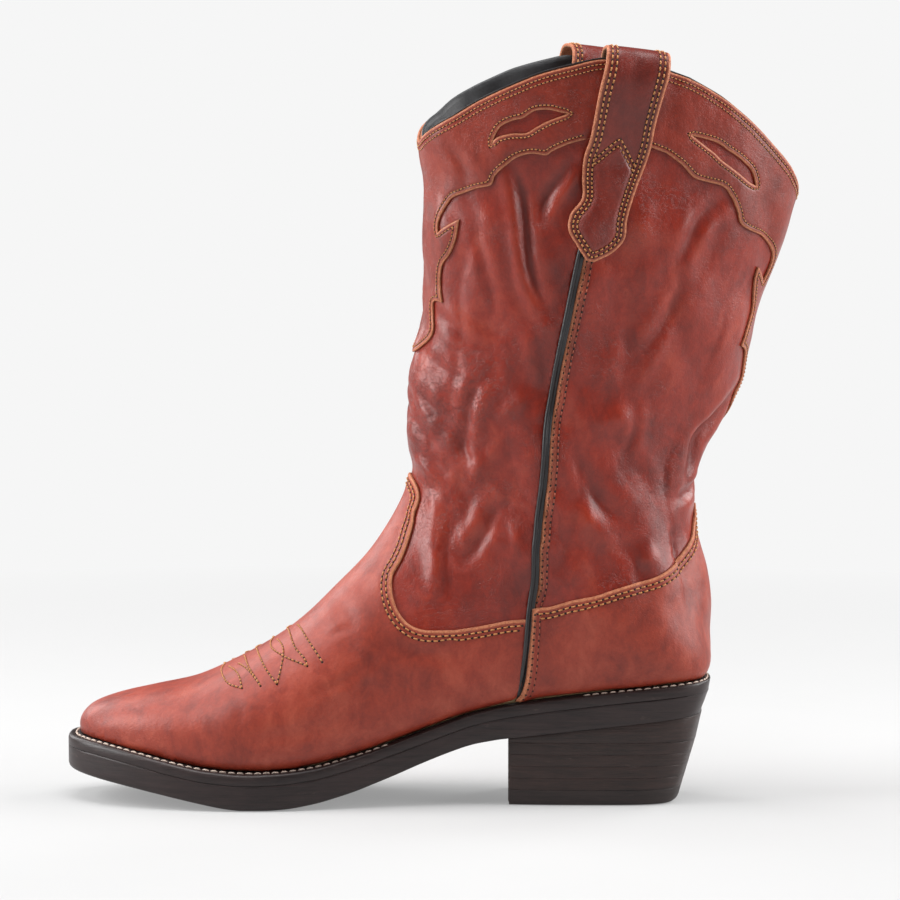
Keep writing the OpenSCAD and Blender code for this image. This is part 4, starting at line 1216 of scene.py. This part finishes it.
def front_phi(e):
    """From the middle line towards the lower edge or the side seam, e degrees short of it."""
    return lambda x, t: x * (np.where(t < 10.8, tab(LOW, t), seam(t)) - e)


def back_phi(x, t):
    s = seam(t) + SIDE_GAP
    return s + x * (360 - 2 * s)


def top_edge(phi):
    """Where the column phi(x, t) reaches the collar, a little above the leather."""
    def top(x):
        t = 24.9
        for _ in range(6):
            t = float(tab(COLLAR, 180 - abs(180 - abs(float(phi(x, t)))))) + .05
        return t
    return top


LINING_D = (1.85, 2.85)     # outer and inner face, millimetres inside the boot's surface
SIDE_GAP = .4               # degrees between a lining and the side seam
front = front_phi(SIDE_GAP)
lining("lining_front_shaft", "front_shaft_lining", np.linspace(-1, 1, 75), 110,
       lambda x: 11.35, top_edge(front), front)
lining("lining_vamp", "vamp_lining", np.linspace(-1, 1, 81), 90, lambda x: .3,
       lambda x: 11.2, front_phi(4))
lining("lining_back_shaft", "back_shaft_lining", np.linspace(0, 1, 85), 120,
       lambda x: float(tab(LOWB, min(x, 1 - x))) + .12, top_edge(back_phi), back_phi)


# ---- piping along the side seams ----
def piping(name, node, s):
    T = np.linspace(10.93, 24.7, 330)
    ph = seam(T) * s
    d = .75 + 1.15 * smoothstep(12.35, 11.95, T)
    P, N = surf(T, ph, d), side(T, ph)
    for _ in range(60):
        P[1:-1] = (P[:-2] + P[1:-1] + P[2:]) / 3
    D = unit(np.gradient(P, axis=0))
    W = -s * np.cross(N, D)
    # a rounded bead, and the flat flange that runs under the back panel's edge
    prof = [(.55, .15), (1.3, .05), (2.2, 0), (2.2, -.45), (1.0, -.5)]
    a = np.radians(np.linspace(-70, -350, 13))
    prof += [(1.0 * math.cos(x) - .35, 1.15 * math.sin(x) + .1) for x in a]
    k = len(prof)
    taper = np.minimum(1, .35 + 2.2 * np.minimum(T - T[0], T[-1] - T))[:, None]
    V = np.stack([P + taper * (W * w + N * h) for w, h in prof], 1).reshape(-1, 3)
    F = grid_faces(len(T), k, wrap=True)
    n = len(V)
    caps = [list(range(k)), list(range(n - k, n))[::-1]]
    if s > 0:
        caps = [c[::-1] for c in caps]
    else:
        F = F[:, ::-1]
    F = F.tolist() + caps
    return place(add_mesh(name, V, F, [M_PIPING]), [node])


piping("piping_outer", "side_piping_outer", 1)
piping("piping_inner", "side_piping_inner", -1)


# ---- pull straps ----
def steps(P, gap):
    return even(P, run_length(P), gap)


def path_offset(Q, delta, sgn):
    """A flat line moved sideways, without the parts that fold over themselves."""
    d = np.gradient(Q, axis=0)
    n = np.stack([-d[:, 1], d[:, 0]], 1) * sgn
    R = Q + unit(n) * delta
    gap = np.linalg.norm(R[:, None] - Q[None], axis=2).min(1)
    return R[gap > delta * .93]


PER_DEG, PER_T = 1.5, 24    # millimetres per degree and per section under the straps
ROOF_ROWS = (0, 1.9)        # stitch rows above the pointed seam
ROOF = [(23.02, 77.5), (23.08, 79.6), (23.30, 82.4), (23.56, 86.3), (23.30, 89), (23.02, 91.6),
        (22.9, 92.6)]


def strap(name, node, s, thread):
    """One pull strap: flat coordinates are (across, along) in millimetres."""
    k = np.array([PER_T, 1, PER_DEG, PER_DEG])
    C = np.array(STRAP, float)
    C[:7, 1] -= .45
    C = curve(C * k, per=8)
    L = run_length(C[:, :2])
    S = np.concatenate([[0, .3, .7, 1.2, 1.8], np.arange(2.4, 64, .65),
                        np.arange(64, L[-1], 1.1), [L[-1]]])
    C = np.stack([np.interp(S, L, C[:, i]) for i in range(4)], 1)
    # a little slack and twist in the loop above the collar
    wob = np.exp(-((S - 100) / 26) ** 2)
    v = unit(np.gradient(C[:, :2], axis=0))
    g = np.stack([-v[:, 1] / PER_T, v[:, 0]], 1)
    half = np.concatenate([[0, .006, .016, .035, .06], np.arange(.085, .49, .03)])
    f = np.concatenate([half, [.5], 1 - half[::-1]])
    width = (C[:, 3] - C[:, 2])
    across = C[:, 2:3] + width[:, None] * f
    left = np.stack([C[::-1, 2], S[::-1]], 1)
    right = np.stack([C[:, 3], S], 1)
    out = steps(np.concatenate([left, right]), .5)
    flat = np.stack([across.ravel(), np.repeat(S, len(f))], 1)
    e = near_flat(out, flat).reshape(across.shape)
    e = np.where((f == 0) | (f == 1) | (S[:, None] == 0), 0, e)
    # the padded window under the pointed seam
    roof = steps(np.array([(c * PER_DEG, (t - STRAP[0][0]) * PER_T) for t, c in ROOF]), .4)
    peak = np.interp(across, roof[:, 0], roof[:, 1])
    to_roof = near_flat(roof, flat).reshape(across.shape)
    below = S[:, None] < peak
    pad = smoothstep(4.4, 6.4, e) * smoothstep(1.6, 3.6, to_roof) * below
    dip = sum(np.exp(-((e - row) / .5) ** 2) for row in STRAP_ROWS)
    for gap in ROOF_ROWS:
        dip = dip + np.exp(-((to_roof - gap) / .5) ** 2) * (e > 3.6) * (below | (gap == 0))
    t0, d0 = C[:, :1] / PER_T, C[:, 1:2]
    # edges curl in a little and the middle is crowned
    crown = .3 * (1 - (2 * f - 1) ** 2) - .1 + wob[:, None] * .5 * (f - .5)
    top = .85 - .36 * np.exp(-(e / .30) ** 2) - .24 * np.minimum(dip, 1) + .75 * pad

    def at(h):
        m = h + crown
        return surf(t0 + g[:, :1] * m, s * across / PER_DEG, d0 + g[:, 1:] * m)

    A, B = at(top), at(-.85 + .36 * np.exp(-(e / .30) ** 2))
    if s < 0:
        A, B = A[:, ::-1], B[:, ::-1]
    V, F = sheet(A, B)
    nv, nu = A.shape[:2]
    slots = [0] * ((nv - 1) * (nu - 1)) + [1] * ((nv - 1) * (nu - 1))
    slots += [2] * (len(F) - len(slots))
    hol = bilinear(HOLLOW, np.clip(t0 + 0 * across, 0, 25.9), s * across / PER_DEG) * .4
    # the stitch grooves get extra painted shade through the hollow attribute
    hol = hol + .35 * np.minimum(dip, 1)
    if s < 0:
        hol, e = hol[:, ::-1], e[:, ::-1]
    ob = add_mesh(name, V, F, [M_STRAP, M_FLESH, M_EDGE], slots,
                  attrs={"edge": np.tile(e.ravel(), 2), "hollow": np.tile(hol.ravel(), 2),
                         "worn": worn(V)})
    place(ob, [node])

    def pin(Q):
        """From flat (across, along) to points and normals on the strap's outer face."""
        P = []
        for off in (0, .6):
            t = np.interp(Q[:, 1], S, t0[:, 0])
            d = np.interp(Q[:, 1], S, d0[:, 0])
            ga = np.interp(Q[:, 1], S, g[:, 0])
            gb = np.interp(Q[:, 1], S, g[:, 1])
            lo, w = np.interp(Q[:, 1], S, C[:, 2]), np.interp(Q[:, 1], S, width)
            x = np.clip((Q[:, 0] - lo) / w, 0, 1)
            m = .85 + .3 * (1 - (2 * x - 1) ** 2) - .1 + off \
                + np.interp(Q[:, 1], S, wob) * .5 * (x - .5) - .14
            P.append(surf(t + ga * m, s * Q[:, 0] / PER_DEG, d + gb * m))
        return P[0], unit(P[1] - P[0])

    for delta in STRAP_ROWS:
        thread.add(*pin(steps(path_offset(out, delta, 1), 2.6)))
    for gap in ROOF_ROWS:
        Q = path_offset(roof, gap, -1) if gap else roof
        thread.add(*pin(steps(Q[near_flat(out, Q) > 4.0], 2.3)))
    return ob


# ---- stitching ----
TOE = [[(7.12, 13), (7.37, 40), (7.67, 63)],
       [(6.87, 0), (7.10, 38), (7.33, 54), (7.37, 59)],
       [(7.37, 59), (6.87, 40), (6.60, 24), (6.55, 10), (6.60, 0)],
       [(6.69, 14), (6.85, 33), (6.84, 45), (6.75, 59)],
       [(6.75, 59), (6.53, 45), (6.35, 26), (6.21, 0)],
       [(5.98, 6), (6.14, 33), (6.41, 55)], [(6.41, 55), (5.89, 19)],
       [(5.57, 0), (5.53, 17), (5.73, 41), (6.03, 51)],
       [(6.03, 51), (5.93, 36), (5.68, 15)]]


def at_collar(t, p):
    return tab(COLLAR, 180 - np.abs(180 - np.abs(p))) - t < .06


thread = Thread()
for delta in COVER_ROWS:
    for run in vamp.lines(delta):
        thread.run(run, COVER[0] - SUNK, 3.0)
for seg in TOE:
    for sg in (1, -1):
        C = curve(seg, per=10) if len(seg) > 2 else np.array(seg, float)
        thread.run(C * [1, sg], 1.42, 2.3)
place(thread.build("thread_vamp", [M_THREAD, M_HOLE_SHADE]), [])

thread = Thread()
for delta in COVER_ROWS:
    for run in counter.lines(delta, lambda t, p: (t > 12.2)):
        thread.run(run, COVER[0] - SUNK, 3.0, up=lift_back)
place(thread.build("thread_counter", [M_THREAD, M_HOLE_SHADE]), [])

thread = Thread()
for delta in SEAM_ROWS:
    for run in counter.lines(delta, lambda t, p: t < 12.05):
        thread.run(run, COVER[0] - SUNK - .05 * (delta < 2), 2.8, .62, up=lift_back)
    for run in back_shaft.lines(delta, lambda t, p: (t < 21.1)):
        thread.run(run, -SUNK - .12 * (delta < 2), 2.8, .62, up=lift_back)
place(thread.build("thread_side_seams", [M_RED_THREAD, M_HOLE_SHADE], .28, .56), [])

thread = Thread()
for panel, up in ((front_over, None), (back_over, lift_back)):
    for run in panel.lines(OVER_ROWS[0], lambda t, p: ~at_collar(t, p)):
        thread.run(run, OVER[0] - SUNK, 1.75, up=up)
    for delta in COLLAR_ROWS:
        for run in panel.lines(delta, at_collar):
            thread.run(run, 1.28, 1.85, up=up)
place(thread.build("thread_collar", [M_THREAD, M_HOLE_SHADE], .26, .40), [])

for name, node, sg in (("outer", "pull_strap_outer", 1), ("inner", "pull_strap_inner", -1)):
    thread = Thread()
    strap("strap_" + name, node, sg, thread)
    place(thread.build("thread_strap_" + name, [M_THREAD, M_HOLE_SHADE]), [])


# ---- bottom: sock liner, welt, outsole and heel ----
def loop(T, inset=0.0, per=6):
    P = [(x, a, 0) for x, a, b in T] + [(x, b, 0) for x, a, b in reversed(T)]
    Q = curve(P, closed=True, per=per)[:, :2]
    if inset:
        d = np.roll(Q, -1, 0) - np.roll(Q, 1, 0)
        Q = Q + unit(np.stack([-d[:, 1], d[:, 0]], 1)) * inset
    return Q


def fill(L, z, gap, up=True, inner=()):
    """Triangles over a flat outline, with inner outlines left open; z gives the height."""
    loops = [L[:, :2]] + [np.asarray(h) for h in inner]
    B = np.concatenate(loops)
    lo, hi = B.min(0), B.max(0)
    H = []
    for k, y in enumerate(np.arange(lo[1], hi[1], gap * .866)):
        x = np.arange(lo[0] + (k % 2) * gap / 2, hi[0], gap)
        H.append(np.stack([x, np.full(len(x), y)], 1))
    H = np.concatenate(H)
    ok = (near_flat(B, H) > gap * .55) & within(H, loops[0])
    for c in loops[1:]:
        ok &= ~within(H, c)
    allp = np.concatenate([B, H[ok]])
    edges, at = [], 0
    for c in loops:
        edges += [(at + i, at + (i + 1) % len(c)) for i in range(len(c))]
        at += len(c)
    res = delaunay_2d_cdt([Vector(p) for p in allp.tolist()], edges, [], 0, 1e-6)
    src = np.array([o[0] if len(o) else -1 for o in res[3]])
    F = src[np.array(res[2])]
    F = F[(F >= 0).all(1)]
    cen = allp[F].mean(1)
    ok = np.zeros(len(cen), bool)
    for c in loops:
        ok ^= within(cen, c)
    F = F[ok]
    v = allp[F]
    turn = ((v[:, 1, 0] - v[:, 0, 0]) * (v[:, 2, 1] - v[:, 0, 1])
            - (v[:, 1, 1] - v[:, 0, 1]) * (v[:, 2, 0] - v[:, 0, 0])) > 0
    F = np.where((turn == up)[:, None], F, F[:, ::-1])
    P = np.c_[allp, z(allp[:, 0])]
    if len(L[0]) == 3:
        P[:len(L), 2] = L[:, 2]
    return P, F


def hoop(n, a, b):
    """Faces between two closed rings of n points that start at points a and b."""
    i = np.arange(n)
    k = (i + 1) % n
    return np.stack([a + k, a + i, b + i, b + k], -1).tolist()


def stack(rings, z_top, z_bot, gap=6.0, pockets=()):
    """A closed solid from rings, highest first; pockets are round recesses underneath."""
    n = len(rings[0])
    V = [np.asarray(r) for r in rings]
    F = []
    for j in range(len(rings) - 1):
        F += hoop(n, j * n, j * n + n)
    top, tf = fill(rings[0], z_top, gap, True)
    at = n * len(rings)
    V.append(top[n:])
    remap = np.concatenate([np.arange(n), at + np.arange(len(top) - n)])
    F += remap[tf].tolist()
    at += len(top) - n
    circles = [np.array([(x + r * math.cos(a), y + r * math.sin(a))
                         for a in np.arange(16) * math.pi / 8]) for x, y, r, _ in pockets]
    bot, bf = fill(rings[-1], z_bot, gap, False, circles)
    V.append(bot[n:])
    remap = np.concatenate([n * (len(rings) - 1) + np.arange(n),
                            at + np.arange(len(bot) - n)])
    F += remap[bf].tolist()
    first = at
    at += len(bot) - n
    for c, (x, y, r, h) in zip(circles, pockets):
        z = float(z_bot(np.array([x]))[0]) + h
        V.append(np.c_[c, np.full(16, z)])
        i, k = np.arange(16), (np.arange(16) + 1) % 16
        F += np.stack([first + i, first + k, at + k, at + i], -1)[:, ::-1].tolist()
        F.append([at + j for j in range(16)][::-1])
        first += 16
        at += 16
    return np.concatenate(V), F


up_loop, out_loop = loop(UPPER), loop(OUTER)
# heights over the feather line: the sock's two faces, the welt's underside, the outsole's top
SOCK_TOP, SOCK_LOW, WELT_LOW, SOLE_TOP = 3.9, 2.75, -5.8, -5.95


def between(w):
    return up_loop + (out_loop - up_loop) * w


# welt: a ledge with a sewn groove
prof = [(-.95, -.3), (-.05, -.15), (.08, -.25), (.20, -.75), (.30, -1.25), (.42, -.95),
        (.52, -.62), (.72, -.85), (.88, -1.3), (.96, -1.9), (1.0, -2.7), (1.005, -4.0),
        (1.005, -5.6), (.99, -5.77), (-.95, WELT_LOW)]
rings = []
rear = np.maximum(out_loop[:, 0] - 60, 0) / 65
for w, h in prof:
    Q = between(w) if w > -.9 else loop(UPPER, 5.6)
    if w > .9:
        Q = Q + np.stack([-1.15 * rear ** 2 * min(1, h / WELT_LOW), 0 * rear], 1)
    rings.append(with_z(Q, zf(Q[:, 0]) + h))
n, m = len(rings[0]), len(rings)
F = []
for j in range(m):
    F += hoop(n, j * n, (j + 1) % m * n)
place(add_mesh("sole_welt", np.concatenate(rings), F, [M_SOLE]), ["welt"])

thread = Thread()
for lo, hi in ((-170, -18), (66, 130)):
    Q = between(.31)
    Q = np.c_[Q, zf(Q[:, 0]) - .95]
    ok = (Q[:, 0] > lo) & (Q[:, 0] < hi)
    first = int(np.where(ok & ~np.roll(ok, 1))[0][0])
    Q = np.roll(Q, -first, 0)
    ok = np.roll(ok, -first)
    R = steps(Q[ok], 3.9)
    thread.add(R, np.tile([[0, 0, 1.0]], (len(R), 1)), .80)
place(thread.build("thread_welt", [M_WELT_THREAD, M_HOLE_SHADE], .48, .5), [])

# sock liner
rings = []
for c, h in ((6.9, SOCK_TOP), (6.5, 3.75), (6.4, 3.4), (6.4, SOCK_LOW)):
    Q = loop(UPPER[1:-1], c)
    rings.append(with_z(Q, zf(Q[:, 0]) + h))
V, F = stack(rings, lambda x: zf(x) + SOCK_TOP, lambda x: zf(x) + SOCK_LOW, 5.0)
place(add_mesh("sock_liner_leather", V, F, [M_SOCK]), ["sock_liner"])

# outsole: the seat tapers in to the heel, the lower edge is rounded
kk = np.maximum(out_loop[:, 0] - 60, 0) / 65
taper = np.stack([-4.7 * kk * kk, np.sign(-out_loop[:, 1] + .3) * 1.4 * kk], 1)
rings = []
inset_loop = {c: loop(OUTER, c) for a in (0, .12, .5, 1.0, 2.0, 3.2) for c in (a, a * .15)}
for c, f, h in ((2.0, 0, None), (.12, 0, None), (0, .03, -.14), (0, .12, -.9), (0, .5, .5),
                (0, .8, .22), (.12, .92, 1.7), (.5, .97, .75), (1.0, .99, .3), (2.0, 1, .04),
                (3.2, 1, 0)):
    # the seat keeps a square edge where it meets the heel
    x = out_loop[:, 0]
    seat = smoothstep(28, 38, x) * (f > .6)
    Q = inset_loop[c] * (1 - seat[:, None]) + inset_loop[c * .15] * seat[:, None] \
        + taper * (.2 + .8 * f)
    x = Q[:, 0]
    top_z, bot_z = zf(x) + SOLE_TOP, zs(x)
    if h is None:
        z = top_z
    elif h < 0:
        z = top_z + h
    elif f in (.5, .8):
        z = bot_z + (top_z - bot_z) * h
        z = np.maximum(z, bot_z + 1.9)
    else:
        z = bot_z + h * (1 - .9 * seat)
    rings.append(with_z(Q, z))
V, F = stack(rings, lambda x: zf(x) + SOLE_TOP, zs, 5.0)
place(add_mesh("sole_outsole", V, F, [M_SOLE]), ["outsole"])

CAP_T, STACK_TOP = 7.0, 28.4    # top of the rubber cap and of the four lifts
LIFT = (STACK_TOP - CAP_T) / 4
JOINT = .03                     # hairline between two pieces of the heel
PINS = [(42, -19), (42, 20), (62, .5), (72, -21), (72, 22), (98, -11), (98, 12)]


def dee(z, r=0.0):
    """Heel outline at height z, drawn in by r."""
    x0, x1, w = 33.3 + min(r, .4), 109.7 + z * .295 - r, 26.4 + z * .058 - .7 * r
    near_side = [(x0 + (x1 - x0) * a, .4 - w * b, 0) for a, b in DEE]
    far_side = [(x, .8 - y, 0) for x, y, _ in reversed(near_side)]
    C = curve(near_side + far_side, per=6)[:, :2]
    a, b = C[-1], C[0]
    breast = np.array([a + (b - a) * s for s in np.linspace(0, 1, 14)[1:-1]])
    C = np.concatenate([C, breast])
    return with_z(C, z)


def lift(name, node, z0, z1):
    mid = (z0 + z1) / 2
    r = [(z1, .7), (z1, .12), (z1 - .05, .04), (z1 - .16, 0), (mid + .5, .02), (mid, .04),
         (mid - .5, .02), (z0 + .16, 0), (z0 + .05, .04), (z0, .12), (z0, .7)]
    rings = [dee(z, c) for z, c in r]
    V, F = stack(rings, lambda x: 0 * x + z1, lambda x: 0 * x + z0, 8.0)
    place(add_mesh(name, V, F, [M_HEEL]), [node])


for j in range(4):
    lift(f"heel_lift_leather_{j + 1}", f"heel_lift_{j + 1}", CAP_T + j * LIFT + JOINT,
         CAP_T + (j + 1) * LIFT)
low_z = STACK_TOP + JOINT
rings = []
for share, c in ((1, .6), (1, .08), (.985, 0), (.5, .02), (.03, 0), (0, .12), (0, .7)):
    Q = dee(STACK_TOP + 9 * share, c)
    z1 = zs(Q[:, 0]) - JOINT
    Q[:, 2] = low_z + (z1 - low_z) * share
    rings.append(Q)
V, F = stack(rings, lambda x: zs(x) - JOINT, lambda x: 0 * x + low_z, 6.0)
place(add_mesh("heel_wedge_leather", V, F, [M_HEEL]), ["heel_wedge"])

rings = [dee(z, c) for z, c in ((CAP_T, .7), (CAP_T, .2), (CAP_T - .1, .06), (CAP_T - .3, 0),
                                (5, 0), (2.5, 0))]
for a in (20, 40, 60, 75, 90):
    z = 2.5 - 2.5 * math.sin(math.radians(a))
    rings.append(dee(z, 2.2 * (1 - math.cos(math.radians(a)))))
V, F = stack(rings, lambda x: 0 * x + CAP_T, lambda x: 0 * x, 7.0,
             [(x, y, 1.9, .8) for x, y in PINS])
place(add_mesh("heel_cap_rubber", V, F, [M_CAP]), ["heel_cap"])

# CAD nodes that stay as they are, with finished materials
for names, m in ((("toe_puff", "counter_stiffener", "insole_board"), M_BOARD),
                 (("steel_shank", "shank_rivets", "heel_nails", "heel_cap_pins"), M_STEEL),
                 (("cork_filler",), M_CORK)):
    for nm in names:
        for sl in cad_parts[nm].material_slots:
            sl.material = m


# ---- floor, light and camera ----
def studio():
    n = Nodes("pale_floor")
    k, low = 96, -.0002
    V = [(0, 0, low)]
    radii = (.15, .3, .5, .8, 1.2, 1.8, 3.0)
    for r in radii:
        V += [(r * math.cos(a), r * math.sin(a), low) for a in np.arange(k) * 2 * math.pi / k]
    F = [(0, 1 + i, 1 + (i + 1) % k) for i in range(k)]
    for j in range(len(radii) - 1):
        a, b = 1 + j * k, 1 + (j + 1) * k
        F += [(a + i, b + i, b + (i + 1) % k, a + (i + 1) % k) for i in range(k)]
    me = bpy.data.meshes.new("floor")
    me.from_pydata(V, [], F)
    me.materials.append(n.m)
    floor = link("floor", me)
    ln = n.t.nodes.new("ShaderNodeVectorMath")
    ln.operation = "LENGTH"
    n.t.links.new(n.co, ln.inputs[0])
    # the floor glows: fully far out, to match the backdrop, and about a third near the boot,
    # which paints the boot's shadow lighter
    glow = n.ramp(n.math("MULTIPLY", ln.outputs["Value"], .5), (.17, .31), (.5, 1.0))
    tone = n.ramp(n.noise(60, 2), (.3, .445), (.7, .45))
    n.finish(tone, .9, Specular_IOR_Level=.1)
    em = n.new("Emission", Color=(.922, .922, .922, 1), Strength=1.0)
    mx = n.t.nodes.new("ShaderNodeMixShader")
    n.t.links.new(glow, mx.inputs[0])
    n.t.links.new(n.bsdf.outputs[0], mx.inputs[1])
    n.t.links.new(em.outputs[0], mx.inputs[2])
    out = n.t.nodes["Material Output"]
    n.t.links.new(mx.outputs[0], out.inputs["Surface"])
    w = bpy.data.worlds.new("studio")
    bpy.context.scene.world = w
    w.use_nodes = True
    bg = w.node_tree.nodes["Background"]
    bg.inputs["Color"].default_value = (.922, .922, .922, 1)
    # the backdrop is pale, but most of the boot's light comes from the soft boxes
    path = w.node_tree.nodes.new("ShaderNodeLightPath")
    dim = w.node_tree.nodes.new("ShaderNodeMapRange")
    dim.inputs["To Min"].default_value = .13
    w.node_tree.links.new(path.outputs["Is Camera Ray"], dim.inputs["Value"])
    w.node_tree.links.new(dim.outputs[0], bg.inputs["Strength"])

    def area(name, loc, aim, sx, sy, power):
        L = bpy.data.lights.new(name, "AREA")
        L.shape = "RECTANGLE"
        L.size, L.size_y = sx, sy
        L.energy = power
        o = link(name, L)
        o.location = loc
        o.rotation_euler = (Vector(aim) - Vector(loc)).to_track_quat("-Z", "Y").to_euler()

    area("left", (-1.3, -.25, .75), (0, 0, .16), .9, 1.2, 28)
    area("right", (1.3, -.1, .75), (.04, 0, .18), .9, 1.2, 24)
    area("rim_left", (-.9, .9, .8), (0, 0, .16), .6, 1.0, 9)
    area("rim_right", (.95, .85, .8), (.04, 0, .18), .6, 1.0, 9)
    area("over", (-.1, -.15, 1.6), (0, 0, 0), 1.3, .9, 24)
    area("front", (-.6, -1.9, .9), (0, 0, .2), .5, .5, 2)


studio()
AZ, EL, FAR = math.radians(1.0), math.radians(4.5), 1.9
aim = Vector((.0068, 0, .1578))
back = Vector((math.sin(AZ) * math.cos(EL), -math.cos(AZ) * math.cos(EL), math.sin(EL)))
cam = bpy.data.cameras.new("camera")
cam.sensor_width = 36
cam.lens = 168.2
cam.clip_end = 20
co = link("camera", cam)
co.location = aim + back * FAR
co.rotation_euler = (-back).to_track_quat("-Z", "Y").to_euler()
bpy.context.scene.camera = co
bpy.context.scene.view_settings.view_transform = "Standard"
